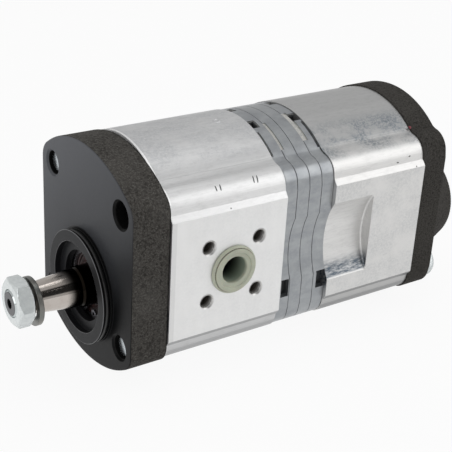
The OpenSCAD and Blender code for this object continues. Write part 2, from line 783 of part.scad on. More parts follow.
module shaft_coupler() color([0.45, 0.46, 0.48])
    difference() {
        bar(coupler_x, coupler_x + coupler_l, coupler_r);
        translate([coupler_x, 0, 0])
            cube([2 * coupler_slot, tang_w + coupler_gap, 4 * coupler_r], center = true);
        translate([coupler_x + coupler_l, 0, 0])
            cube([2 * coupler_slot, 4 * coupler_r, tang_w + coupler_gap], center = true);
    }

module rear_drive_gear() color([0.62, 0.63, 0.65]) {
    gear_teeth(rear_gear_x, rear_gear_w, drive_angle, [0, 0]);
    bar(coupler_x + coupler_l + coupler_gap, cover_x - journal_gap, journal_r);
    tang(coupler_x + coupler_l - tang_l, coupler_x + coupler_l + coupler_gap + cut, 90);
}

// Cover: a plain base and a tapered round boss with the rear section's pressure port
module rear_cover() color([0.2, 0.19, 0.18])
    difference() {
        union() {
            slab(cover_x, cover_back_x, plain_section(-cover_lip));
            turned(cover_back_x - cut, boss_profile(), [0, boss_z]);
        }
        fixing_channels(cover_x, cover_back_x);
        for (p = concat(bolt_places, mount_places)) bar(bolt_seat_x, boss_back_x + cut, bolt_seat_r, p);
        seal_ring(cover_x - cut, cover_x + body_seal_t, seal_gap);
        bar(rear_channel_x - channel_r, boss_back_x + cut, pressure_port_r, [0, boss_z]);
        bar(cover_x - cut, rear_channel_x + channel_r + channel_pass, channel_r, [rear_channel_y, mid_z]);
        cross_channel();
        dowel_holes(cover_x);
    }

// Half section of the boss, from the axis at its base to the axis at its top
function boss_profile() =
    let (
        lean = atan2(boss_base_r - boss_top_r, boss_h),
        foot = boss_base_r + boss_foot_r * (1 - sin(lean)) / cos(lean)
    )
    concat(
        [[0, 0], [foot, 0]],
        arc([foot, cut + boss_foot_r], boss_foot_r, 270, 180 + lean, 6),
        arc([boss_top_r - boss_edge_r, boss_h + cut - boss_edge_r], boss_edge_r, lean, 90, 8),
        [[0, boss_h + cut]]
    );

// Channel in the cover from the rear section's pressure side to the port's axis
module cross_channel()
    let (dy = -rear_channel_y, dz = boss_z - mid_z)
    translate([rear_channel_x, rear_channel_y, mid_z]) rotate([atan2(dz, dy) - 90, 0, 0])
        cylinder(h = norm([dy, dz]), r = channel_r);

module through_bolts() color([0.75, 0.76, 0.78])
    for (p = bolt_places)
        difference() {
            union() {
                bar(bolt_end_inset + bolt_end_chamfer, bolt_seat_x + cut, bolt_r, p);
                cone(bolt_end_inset, bolt_end_inset + bolt_end_chamfer, bolt_r - bolt_end_chamfer, bolt_r, p);
                bar(bolt_seat_x, bolt_head_x - bolt_head_chamfer, bolt_head_r, p);
                cone(bolt_head_x - bolt_head_chamfer, bolt_head_x, bolt_head_r, bolt_head_top_r, p);
            }
            along_x(bolt_seat_x + bolt_head_h / 2) translate([p[0], p[1], 0])
                cylinder(h = bolt_head_h, r = bolt_socket_w / 2 / cos(30), $fn = 6);
        }

// Pins across the four joints between castings
module dowel_pins() color([0.5, 0.5, 0.52])
    for (x = [front_body_x, plates_x, rear_body_x, cover_x], s = [-1, 1])
        bar(x - dowel_reach + 0.2, x + dowel_reach - 0.2, dowel_r, [s * dowel_y, mid_z]);

module rear_pressure_plug() translate([boss_back_x, 0, boss_z]) rotate([0, 90, 0]) plug(pressure_port_r);

module body_seal(x0) color([0.08, 0.08, 0.08]) seal_ring(x0, x0 + body_seal_t, 0);

module flange_seal() body_seal(flange_t - body_seal_t);

module front_plate_seal() body_seal(plates_x);

module rear_plate_seal() body_seal(rear_body_x - body_seal_t);

module cover_seal() body_seal(cover_x);

module front_pressure_plug() side_plug(front_port_x, pressure_port_r, -1);

module front_suction_plug() side_plug(front_port_x, suction_port_r, 1);

module rear_suction_plug() side_plug(rear_port_x, suction_port_r, 1);

module front_bushes() {
    bushes(front_body_x, front_block_l);
    bushes(plates_x - front_block_l, front_block_l);
}

module rear_bushes() {
    bushes(rear_body_x, rear_block_l);
    bushes(cover_x - rear_block_l, rear_block_l);
}

// Compensation seals in the outer faces of the two blocks between x0 and x1
module pressure_seals(x0, x1) color([0.5, 0.3, 0.15]) {
    pressure_seal(x0, comp_seal_t, 0);
    pressure_seal(x1 - comp_seal_t, comp_seal_t, 0);
}

module front_pressure_seals() pressure_seals(front_body_x, plates_x);

module rear_pressure_seals() pressure_seals(rear_body_x, cover_x);

front_flange();
pilot_o_ring();
shaft_seal();
seal_circlip();
drive_shaft();
woodruff_key();
lock_washer();
shaft_nut();
front_driven_gear();
front_block_a();
front_block_b();
front_bushes();
front_pressure_seals();
front_body();
front_pressure_plug();
front_suction_plug();
flange_seal();
front_plate_seal();
intermediate_plate_1();
intermediate_plate_2();
intermediate_plate_3();
intermediate_plate_4();
shaft_coupler();
rear_plate_seal();
rear_drive_gear();
rear_driven_gear();
rear_block_a();
rear_block_b();
rear_bushes();
rear_pressure_seals();
rear_body();
rear_suction_plug();
cover_seal();
rear_cover();
rear_pressure_plug();
through_bolts();
dowel_pins();
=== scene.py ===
"""Looks of a tandem gear pump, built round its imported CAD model.

The frame is the CAD's: the origin is on the drive axis at the flange's mounting face, +X runs back
through the pump, -Y is the side with the front pressure port and +Z is up. Sizes are in millimetres
and become metres when a mesh is made.
"""

from __future__ import annotations

import functools
import logging
import math
from dataclasses import dataclass
from enum import Enum
from typing import Iterable, Sequence

import bmesh
import bpy
import numpy as np
from mathutils import Matrix, Vector
from mathutils.geometry import delaunay_2d_cdt


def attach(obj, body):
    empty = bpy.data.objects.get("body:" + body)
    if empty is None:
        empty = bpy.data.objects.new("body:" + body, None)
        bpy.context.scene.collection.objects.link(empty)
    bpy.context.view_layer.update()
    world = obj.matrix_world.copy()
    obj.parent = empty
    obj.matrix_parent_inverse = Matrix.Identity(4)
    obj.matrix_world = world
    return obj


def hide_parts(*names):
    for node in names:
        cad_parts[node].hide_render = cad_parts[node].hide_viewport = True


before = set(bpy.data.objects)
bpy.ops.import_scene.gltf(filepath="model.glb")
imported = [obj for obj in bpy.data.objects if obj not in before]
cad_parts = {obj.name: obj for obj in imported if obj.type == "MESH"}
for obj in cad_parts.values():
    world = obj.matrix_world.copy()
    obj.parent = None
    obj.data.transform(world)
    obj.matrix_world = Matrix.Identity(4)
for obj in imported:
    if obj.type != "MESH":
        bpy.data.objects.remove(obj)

LOG = logging.getLogger("pump")
MM = 0.001
PUMP = "pump_body"
SHAFT = "drive_shaft"
DRIVE_AXIS = (0.0, 0.0)
BLACK = (0.0, 0.0, 0.0)
WHITE = (1.0, 1.0, 1.0)
Array = np.ndarray
Colour = tuple[float, float, float]
Socket = bpy.types.NodeSocket
Stops = Sequence[tuple[float, object]]


def full_turn(count: int) -> Array:
    """Angles of a full turn in even steps, without the last one that would meet the first."""
    return np.linspace(0, 2 * np.pi, count, endpoint=False)


def around(centre: Sequence[float], radius: float, angles: Array) -> Array:
    """Points c + r (cos a, sin a) at angles in radians."""
    return np.stack([centre[0] + radius * np.cos(angles), centre[1] + radius * np.sin(angles)], -1)


def arc(centre: Sequence[float], radius: float, start: float, end: float, steps: int) -> Array:
    """Points c + r (cos a, sin a) for angles a in even steps.

    Args:
        centre: The arc's centre in Y and Z.
        radius: Its radius.
        start: First angle in degrees, from +Y towards +Z.
        end: Last angle in degrees.
        steps: Number of steps between them.

    Returns:
        An array of steps + 1 points.
    """
    return around(centre, radius, np.radians(np.linspace(start, end, steps + 1)))


def ring(centre: Sequence[float], radius: float, count: int) -> Array:
    """A closed circle of count points, without a repeated last one."""
    return arc(centre, radius, 0, 360, count)[:-1]


def circle_row(angles: Array, radius: Array | float, x: float) -> Array:
    """A row of points about the drive axis: (x, r cos a, r sin a)."""
    return np.stack([np.full_like(angles, x), radius * np.cos(angles), radius * np.sin(angles)], -1)


def hexagon(angles: Array, width: float) -> Array:
    """Radius of a hexagon: (w / 2) / cos b, where b is the angle from the nearest flat's middle."""
    return width / 2 / np.cos((angles % (np.pi / 3)) - np.pi / 6)


def thread_wave(height: Array | float, pitch: float, angles: Array) -> Array:
    """A thread's flanks as |2 frac(h / p - a / 2 pi) - 1|, which climbs one pitch each turn."""
    return np.abs(2 * ((height / pitch - angles / (2 * np.pi)) % 1.0) - 1)


def without_repeats(points: Array) -> Array:
    """A closed loop without points that coincide with the one before them."""
    gap = np.linalg.norm(points - np.roll(points, 1, 0), axis=1)
    return points[gap > 1e-6]


def from_quarter(quarter: Array) -> Array:
    """The whole loop from its upper right quarter, mirrored in both axes, counter-clockwise."""
    flip_y, flip_z = np.array([-1, 1]), np.array([1, -1])
    parts = [quarter, quarter[::-1] * flip_y, -quarter, quarter[::-1] * flip_z]
    return without_repeats(np.concatenate(parts))


def refined(loop: Array, longest: float) -> Array:
    """The loop with every edge longer than `longest` split evenly."""
    parts = []
    for a, b in zip(loop, np.roll(loop, -1, 0)):
        steps = max(1, math.ceil(np.linalg.norm(b - a) / longest))
        parts.append(a + (b - a) * np.linspace(0, 1, steps, False)[:, None])
    return np.concatenate(parts)


def mitres(loop: Array) -> Array:
    """Outward offset directions of a counter-clockwise loop.

    Each is (n1 + n2) / (1 + n1 . n2) for the normals of the two edges that meet, so that an
    offset by d moves both edges outwards by exactly d.
    """
    edge = np.roll(loop, -1, 0) - loop
    edge = edge / np.linalg.norm(edge, axis=1)[:, None]
    after = np.stack([edge[:, 1], -edge[:, 0]], -1)
    before = np.roll(after, 1, 0)
    return (before + after) / (1 + np.sum(before * after, 1))[:, None]


def rounded(points: Sequence[Sequence[float]], radius: float, steps: int = 3) -> Array:
    """An open profile whose inner corners are rounded.

    Each corner P becomes the curve (1-t)^2 A + 2t(1-t) P + t^2 B, where A and B lie on its two
    edges at `radius` from P, or at under half of a shorter edge.

    Args:
        points: The profile's points.
        radius: Distance from a corner at which its curve starts.
        steps: Steps along each curve.

    Returns:
        The rounded profile's points.
    """
    p = np.asarray(points, float)
    t = np.linspace(0, 1, steps + 1)[:, None]
    out = [p[:1]]
    for a, c, b in zip(p[:-2], p[1:-1], p[2:]):
        la, lb = np.linalg.norm(a - c), np.linalg.norm(b - c)
        d = min(radius, 0.45 * la, 0.45 * lb)
        s, e = c + (a - c) / la * d, c + (b - c) / lb * d
        out.append((1 - t) ** 2 * s + 2 * t * (1 - t) * c + t**2 * e)
    out.append(p[-1:])
    return np.concatenate(out)


def edge_round(radius: float, steps: int = 3) -> Array:
    """Quarter round as rows of (inset, depth): r (1 - sin a), r (1 - cos a), a from 0 to 90 degrees."""
    a = np.linspace(0, np.pi / 2, steps + 1)
    return np.stack([radius * (1 - np.sin(a)), radius * (1 - np.cos(a))], -1)


def round_ended(x0: float, x1: float, front: float, back: float) -> Array:
    """Profile of (inset, x) from the front face to the back face with a rounded edge at each."""
    a, b = edge_round(front), edge_round(back)[::-1]
    return np.concatenate([np.stack([a[:, 0], x0 + a[:, 1]], -1), np.stack([b[:, 0], x1 - b[:, 1]], -1)])


def inside(points: Array, loop: Array) -> Array:
    """Whether each point lies in the loop, by counting the edges to its right."""
    a, b = loop, np.roll(loop, -1, 0)
    y, z = points[:, 0, None], points[:, 1, None]
    crosses = (a[:, 1] > z) != (b[:, 1] > z)
    rise = np.where(b[:, 1] == a[:, 1], 1.0, b[:, 1] - a[:, 1])
    at = a[:, 0] + (z - a[:, 1]) * (b[:, 0] - a[:, 0]) / rise
    return np.sum(crosses & (y < at), 1) % 2 == 1


def loop_edges(loops: Iterable[Array]) -> list[tuple[int, int]]:
    """Edges of closed loops whose points stand one after the other, as pairs of indices."""
    edges, base = [], 0
    for loop in loops:
        k = np.arange(len(loop))
        edges += zip((base + k).tolist(), (base + (k + 1) % len(loop)).tolist())
        base += len(loop)
    return edges


def triangulated(points: Array, edges: list[tuple[int, int]]) -> tuple[Array, Array]:
    """A flat Delaunay triangulation that keeps the given edges.

    Args:
        points: Points in a plane.
        edges: Pairs of indices that stay edges.

    Returns:
        The points, with any that the triangulation added, and the triangles.
    """
    found = delaunay_2d_cdt([Vector(p) for p in points], edges, [], 0, 1e-7)
    at = np.array([points[o[0]] if o else tuple(v) for v, o in zip(found[0], found[3])])
    return at, np.array([f for f in found[2] if len(f) == 3])


def lathe(profile: Array, centre: Sequence[float] = DRIVE_AXIS, count: int = 96) -> Array:
    """Points of a surface turned about an axis along X: (x, cy + r cos a, cz + r sin a).

    Args:
        profile: Rows of (radius, x).
        centre: Where the axis stands in Y and Z.
        count: Number of columns.

    Returns:
        A grid of len(profile) by count points.
    """
    a = full_turn(count)
    r, x = profile[:, 0, None], np.broadcast_to(profile[:, 1, None], (len(profile), count))
    return np.stack([x, centre[0] + r * np.cos(a), centre[1] + r * np.sin(a)], -1)


class Surface:
    """Gathers the grids and fills of one piece, in millimetres, and makes its mesh."""

    def __init__(self) -> None:
        """Starts with no points and no faces."""
        self._points: list[Array] = []
        self._faces: list[Array] = []
        self._count = 0

    def add(self, points: Array, faces: Array) -> None:
        """Adds points with faces that index them."""
        self._points.append(np.asarray(points, float).reshape(-1, 3))
        self._faces.append(np.asarray(faces, int) + self._count)
        self._count += len(self._points[-1])

    def grid(self, points: Array, wrap: bool = True) -> None:
        """Adds a grid surface.

        Args:
            points: Rows by columns by 3.
            wrap: Whether the last column joins the first.
        """
        rows, cols = points.shape[:2]
        i, j = np.meshgrid(np.arange(rows - 1), np.arange(cols if wrap else cols - 1), indexing="ij")
        k = (j + 1) % cols
        quads = np.stack([i * cols + j, i * cols + k, (i + 1) * cols + k, (i + 1) * cols + j], -1)
        self.add(points, quads.reshape(-1, 4))

    def fan(self, loop: Array, pole: Sequence[float]) -> None:
        """Closes a loop of 3-D points with triangles to one pole."""
        n = len(loop)
        k = np.arange(n)
        self.add(np.concatenate([loop, [pole]]), np.stack([k, (k + 1) % n, np.full(n, n)], -1))

    def tube(self, points: Array) -> None:
        """Adds a grid surface whose first and last rows are closed by fans."""
        self.grid(points)
        self.fan(points[0], points[0].mean(0))
        self.fan(points[-1], points[-1].mean(0))

    def fill(self, outer: Array, holes: Iterable[Array], level: float) -> None:
        """Fills a flat region square to X by a Delaunay triangulation held to its edges.

        Args:
            outer: The outer loop in Y and Z.
            holes: Loops that are left open.
            level: The region's place along X.
        """
        loops = [outer, *holes]
        at, tris = triangulated(np.concatenate(loops), loop_edges(loops))
        middle = at[tris].mean(1)
        keep = inside(middle, outer)
        for hole in loops[1:]:
            keep &= ~inside(middle, hole)
        self.add(np.insert(at, 0, level, axis=1), tris[keep])

    def build(self, name: str, sharp: float = 32.0) -> bpy.types.Object:
        """Makes the piece.

        Args:
            name: The object's name.
            sharp: Angle in degrees above which an edge stays sharp.

        Returns:
            The new object, at the origin, with welded points and outward faces.
        """
        points = np.concatenate(self._points)
        _, first, where = np.unique(np.round(points, 4), axis=0, return_index=True, return_inverse=True)
        faces = [f for part in self._faces for f in where.reshape(-1)[part].tolist()]
        clean = [tuple(dict.fromkeys(f)) for f in faces]
        mesh = bpy.data.meshes.new(name)
        mesh.from_pydata((points[first] * MM).tolist(), [], [f for f in clean if len(f) > 2])
        shaped = bmesh.new()
        shaped.from_mesh(mesh)
        bmesh.ops.recalc_face_normals(shaped, faces=shaped.faces)
        shaped.to_mesh(mesh)
        shaped.free()
        mesh.shade_smooth()
        mesh.set_sharp_from_angle(angle=math.radians(sharp))
        piece = bpy.data.objects.new(name, mesh)
        bpy.context.scene.collection.objects.link(piece)
        even = piece.modifiers.new("even_shading", "WEIGHTED_NORMAL")
        even.keep_sharp = True
        return piece


@dataclass(frozen=True)
class Sizes:
    """The pump's sizes in millimetres, as the CAD model has them."""

    mid_z: float = 15.0
    fixing: float = 30.0
    flange_t: float = 17.1
    flange_half_w: float = 40.0
    flange_half_h: float = 49.2
    flange_crown_r: float = 61.0
    flange_corner_r: float = 9.0
    plates_x: float = 73.3
    plate_t: float = 6.525
    rear_x: float = 99.4
    cover_x: float = 150.8
    cover_back_x: float = 165.0
    boss_x: float = 193.0
    boss_z: float = 3.9
    front_port_x: float = 47.5
    rear_port_x: float = 125.1
    pressure_port_r: float = 7.5
    suction_port_r: float = 9.0
    mount_hole_r: float = 5.5
    crown_top: float = 50.3
    crown_half_w: float = 28.5
    crown_edge_z: float = 39.7
    shoulder_r: float = 8.8
    body_half_w: float = 39.3
    pad_y: float = 41.0
    pad_half_h: float = 27.0
    plate_inset: float = 0.4
    valley_r: float = 7.0

    @property
    def crown_r(self) -> float:
        """Radius of the arc through the crown's two edges and its top: (w^2 + h^2) / 2h."""
        rise = self.crown_top - self.crown_edge_z
        return (self.crown_half_w**2 + rise**2) / (2 * rise)

    @property
    def crown_at(self) -> Array:
        """Centre of the crown's arc about the section's middle."""
        return np.array([0.0, self.crown_top - self.crown_r])

    @property
    def shoulder_at(self) -> Array:
        """Centre of the upper right shoulder about the section's middle."""
        return np.array([self.fixing, self.fixing])

    @property
    def bolts(self) -> list[tuple[float, float]]:
        """Where the through bolts stand in Y and Z."""
        return [(self.fixing, self.mid_z + self.fixing), (-self.fixing, self.mid_z - self.fixing)]

    @property
    def open_holes(self) -> list[tuple[float, float]]:
        """Where the open mounting holes stand in Y and Z."""
        return [(-self.fixing, self.mid_z + self.fixing), (self.fixing, self.mid_z - self.fixing)]


SIZES = Sizes()


def valley_centre() -> Array:
    """Centre of the round valley between the crown and the shoulder.

    It is where the circles about the crown's and the shoulder's centres, each grown by the valley's
    radius, cross on the outer side. An inset moves all three arcs alike, so the centre stays.
    """
    s = SIZES
    apart = s.shoulder_at - s.crown_at
    gap = np.linalg.norm(apart)
    u = apart / gap
    far, near = s.crown_r + s.valley_r, s.shoulder_r + s.valley_r
    along = (far**2 - near**2 + gap**2) / (2 * gap)
    return s.crown_at + along * u + math.sqrt(far**2 - along**2) * np.array([-u[1], u[0]])


def valley(inset: float, steps: int = 12) -> tuple[Array, float, float]:
    """The valley's arc from the shoulder to the crown, and where the two other arcs end, in degrees."""
    s, centre = SIZES, valley_centre()
    low = math.degrees(math.atan2(*(centre - s.shoulder_at)[::-1]))
    high = math.degrees(math.atan2(*(centre - s.crown_at)[::-1]))
    return arc(centre, s.valley_r + inset, low - 180, high - 180, steps), low, high


def shoulder_and_crown(inset: float, steps: int = 40) -> Array:
    """Upper right shoulder, valley and half crown about the section's middle, moved in by an inset."""
    s = SIZES
    dip, low, high = valley(inset)
    shoulder = arc(s.shoulder_at, s.shoulder_r - inset, 10, low, 24)
    return np.concatenate([shoulder, dip[1:-1], arc(s.crown_at, s.crown_r - inset, high, 90, steps)])


def flange_loop() -> Array:
    """The flange's outline about the section's middle: round corners, wide arcs at top and bottom."""
    s = SIZES
    low, y = s.flange_half_h - s.flange_crown_r, s.flange_half_w - s.flange_corner_r
    z = low + math.sqrt((s.flange_crown_r - s.flange_corner_r) ** 2 - y * y)
    turn = math.degrees(math.atan2(z - low, y))
    corner = arc((y, z), s.flange_corner_r, 0, turn, 20)
    crown = arc((0, low), s.flange_crown_r, turn + 0.5, 90, 50)
    return from_quarter(np.concatenate([corner, crown]))


def sweep_rows(loop: Array, profile: Array) -> Array:
    """Rows of a loop carried along X: each row is the loop moved in by an inset, at one x.

    Args:
        loop: Counter-clockwise outline about the section's middle.
        profile: Rows of (inset, x).

    Returns:
        A grid of rows by points by 3.
    """
    flat = loop[None] - profile[:, 0, None, None] * mitres(loop)[None]
    x = np.broadcast_to(profile[:, 1, None, None], (*flat.shape[:2], 1))
    return np.concatenate([x, flat + np.array([0, SIZES.mid_z])], -1)


def toned(colour: Colour, factor: float) -> Colour:
    """A colour made darker or paler by one factor."""
    return tuple(factor * c for c in colour)


class Nodes:
    """A node tree, with short ways to add the nodes that the finishes and the surroundings share."""

    def __init__(self, tree: bpy.types.NodeTree) -> None:
        """Empties the tree."""
        self.tree = tree
        self.tree.nodes.clear()

    def node(self, kind: str, **settings: object) -> bpy.types.Node:
        """Adds a node and sets the given properties on it."""
        made = self.tree.nodes.new(kind)
        for key, value in settings.items():
            setattr(made, key, value)
        return made

    def link(self, source: object, target: Socket) -> None:
        """Sets an input from another node's output, or from a plain value."""
        if isinstance(source, Socket):
            self.tree.links.new(source, target)
        elif isinstance(source, tuple) and len(source) == 3 and target.type == "RGBA":
            target.default_value = (*source, 1.0)
        else:
            target.default_value = source

    def math(self, operation: str, a: object, b: object = 0.0, clamp: bool = False) -> Socket:
        """One arithmetic step."""
        made = self.node("ShaderNodeMath", operation=operation, use_clamp=clamp)
        self.link(a, made.inputs[0])
        self.link(b, made.inputs[1])
        return made.outputs[0]

    def plus(self, a: object, b: object) -> Socket:
        """The sum of two values."""
        return self.math("ADD", a, b)

    def minus(self, a: object, b: object) -> Socket:
        """The first value less the second."""
        return self.math("SUBTRACT", a, b)

    def times(self, *parts: object) -> Socket:
        """The product of the values, or the overlap of masks."""
        return functools.reduce(lambda a, b: self.math("MULTIPLY", a, b), parts)

    def most(self, a: object, b: object) -> Socket:
        """The larger of two values, or the union of masks."""
        return self.math("MAXIMUM", a, b)

    def unsigned(self, value: object) -> Socket:
        """The value without its sign."""
        return self.math("ABSOLUTE", value)

    def axes(self, vector: Socket) -> tuple[Socket, Socket, Socket]:
        """The X, Y and Z parts of a vector."""
        made = self.node("ShaderNodeSeparateXYZ")
        self.link(vector, made.inputs[0])
        return tuple(made.outputs)

    def step(self, value: object, low: float, high: float, share: float = 1.0) -> Socket:
        """A smooth step from 0 at the low value to the share at the high one."""
        made = self.node("ShaderNodeMapRange", interpolation_type="SMOOTHSTEP")
        self.link(value, made.inputs["Value"])
        made.inputs["From Min"].default_value = low
        made.inputs["From Max"].default_value = high
        made.inputs["To Max"].default_value = share
        return made.outputs["Result"]

    def ramp(self, value: object, stops: Stops) -> Socket:
        """A colour or grey value from stops of (place, colour or grey)."""
        made = self.node("ShaderNodeValToRGB")
        self.link(value, made.inputs["Fac"])
        bar = made.color_ramp.elements
        while len(bar) < len(stops):
            bar.new(0.5)
        for element, (place, shade) in zip(bar, stops):
            element.position = place
            element.color = (*shade, 1.0) if isinstance(shade, tuple) else (shade, shade, shade, 1.0)
        return made.outputs["Color"]

    def mix(self, share: object, a: object, b: object) -> Socket:
        """Colour a turned into colour b by a share from 0 to 1."""
        made = self.node("ShaderNodeMix", data_type="RGBA")
        self.link(share, made.inputs[0])
        self.link(a, made.inputs[6])
        self.link(b, made.inputs[7])
        return made.outputs[2]


class Graph(Nodes):
    """A material's node tree on the object's own coordinates in millimetres."""

    def __init__(self, name: str) -> None:
        """Makes an empty material with its output node."""
        self.material = bpy.data.materials.new(name)
        self.material.use_nodes = True
        super().__init__(self.material.node_tree)
        self.output = self.node("ShaderNodeOutputMaterial")
        self._place = self.node("ShaderNodeTexCoord")
        scale = self.node("ShaderNodeVectorMath", operation="SCALE")
        scale.inputs["Scale"].default_value = 1 / MM
        self.link(self._place.outputs["Object"], scale.inputs[0])
        self.mm = scale.outputs["Vector"]

    def place(self) -> tuple[Socket, Socket, Socket]:
        """The place's X, Y and Z in millimetres."""
        return self.axes(self.mm)

    def facing(self) -> tuple[Socket, Socket, Socket]:
        """The X, Y and Z parts of the surface's normal in the object's own axes."""
        return self.axes(self._place.outputs["Normal"])

    def above(self, value: object, level: float, soft: float = 0.05) -> Socket:
        """0 below the level and 1 above it, over a soft step."""
        return self.step(value, level - soft, level + soft)

    def below(self, value: object, level: float, soft: float = 0.05) -> Socket:
        """1 below the level and 0 above it."""
        return self.minus(1.0, self.above(value, level, soft))

    def between(self, value: object, low: float, high: float, soft: float = 0.05) -> Socket:
        """1 where the value lies from low to high, with soft edges of the given width."""
        return self.times(self.above(value, low, soft), self.below(value, high, soft))

    def noise(
        self,
        scale: float,
        detail: float = 4.0,
        stretch: Sequence[float] = (1.0, 1.0, 1.0),
        roughness: float = 0.5,
        shift: Sequence[float] = (0.0, 0.0, 0.0),
    ) -> Socket:
        """Noise from 0 to 1.

        Args:
            scale: Grains for each millimetre.
            detail: Octaves.
            stretch: Factor on each axis; a small one draws the pattern out.
            roughness: Share of the finer octaves.
            shift: Offset that makes this pattern its own.

        Returns:
            The pattern's value.
        """
        placed = self.node("ShaderNodeMapping", vector_type="POINT")
        self.link(self.mm, placed.inputs["Vector"])
        placed.inputs["Scale"].default_value = stretch
        placed.inputs["Location"].default_value = shift
        made = self.node("ShaderNodeTexNoise", noise_dimensions="3D")
        self.link(placed.outputs[0], made.inputs["Vector"])
        made.inputs["Scale"].default_value = scale
        made.inputs["Detail"].default_value = detail
        made.inputs["Roughness"].default_value = roughness
        return made.outputs["Fac"]

    def distance(self, a: object, b: object, centre: Sequence[float]) -> Socket:
        """Distance of (a, b) from a centre: sqrt((a - c0)^2 + (b - c1)^2)."""
        da, db = self.minus(a, centre[0]), self.minus(b, centre[1])
        return self.math("SQRT", self.plus(self.times(da, da), self.times(db, db)))

    def spotted(self, pattern: Socket, stops: Stops, a: object, b: object) -> Socket:
        """Colour a turned into colour b by stops of (pattern's value, share)."""
        return self.mix(self.ramp(pattern, stops), a, b)

    def blend(self, share: object, a: object, b: object) -> Socket:
        """Number a turned into number b by a share from 0 to 1."""
        made = self.node("ShaderNodeMix", data_type="FLOAT")
        self.link(share, made.inputs[0])
        self.link(a, made.inputs[2])
        self.link(b, made.inputs[3])
        return made.outputs[0]

    def bump(
        self, height: object, depth: float, strength: float = 1.0, below: Socket | None = None
    ) -> Socket:
        """A relief of the given depth in millimetres, on top of another normal if one is given."""
        made = self.node("ShaderNodeBump")
        made.inputs["Strength"].default_value = strength
        made.inputs["Distance"].default_value = depth * MM
        self.link(height, made.inputs["Height"])
        if below is not None:
            self.link(below, made.inputs["Normal"])
        return made.outputs["Normal"]

    def soft_edges(self, radius: float) -> Socket:
        """The normal with edges rounded to a radius in millimetres."""
        made = self.node("ShaderNodeBevel", samples=4)
        made.inputs["Radius"].default_value = radius * MM
        return made.outputs["Normal"]

    def finish(
        self, colour: object, roughness: object, metallic: object, normal: Socket, **plain: float
    ) -> bpy.types.Material:
        """Ends the tree in one Principled shader.

        Args:
            colour: Base colour.
            roughness: Its roughness.
            metallic: Its metallic share.
            normal: Its normal.
            plain: Further sockets, by name with _ for a space, that hold one value.

        Returns:
            The material.
        """
        shader = self.node("ShaderNodeBsdfPrincipled")
        self.link(colour, shader.inputs["Base Color"])
        self.link(roughness, shader.inputs["Roughness"])
        self.link(metallic, shader.inputs["Metallic"])
        self.link(normal, shader.inputs["Normal"])
        for key, value in plain.items():
            shader.inputs[key.replace("_", " ")].default_value = value
        self.link(shader.outputs[0], self.output.inputs["Surface"])
        return self.material


class Machined(Enum):
    """Which faces of a casting are machined smooth."""

    FRONT = "front"
    BACK_SEATS = "back seats"


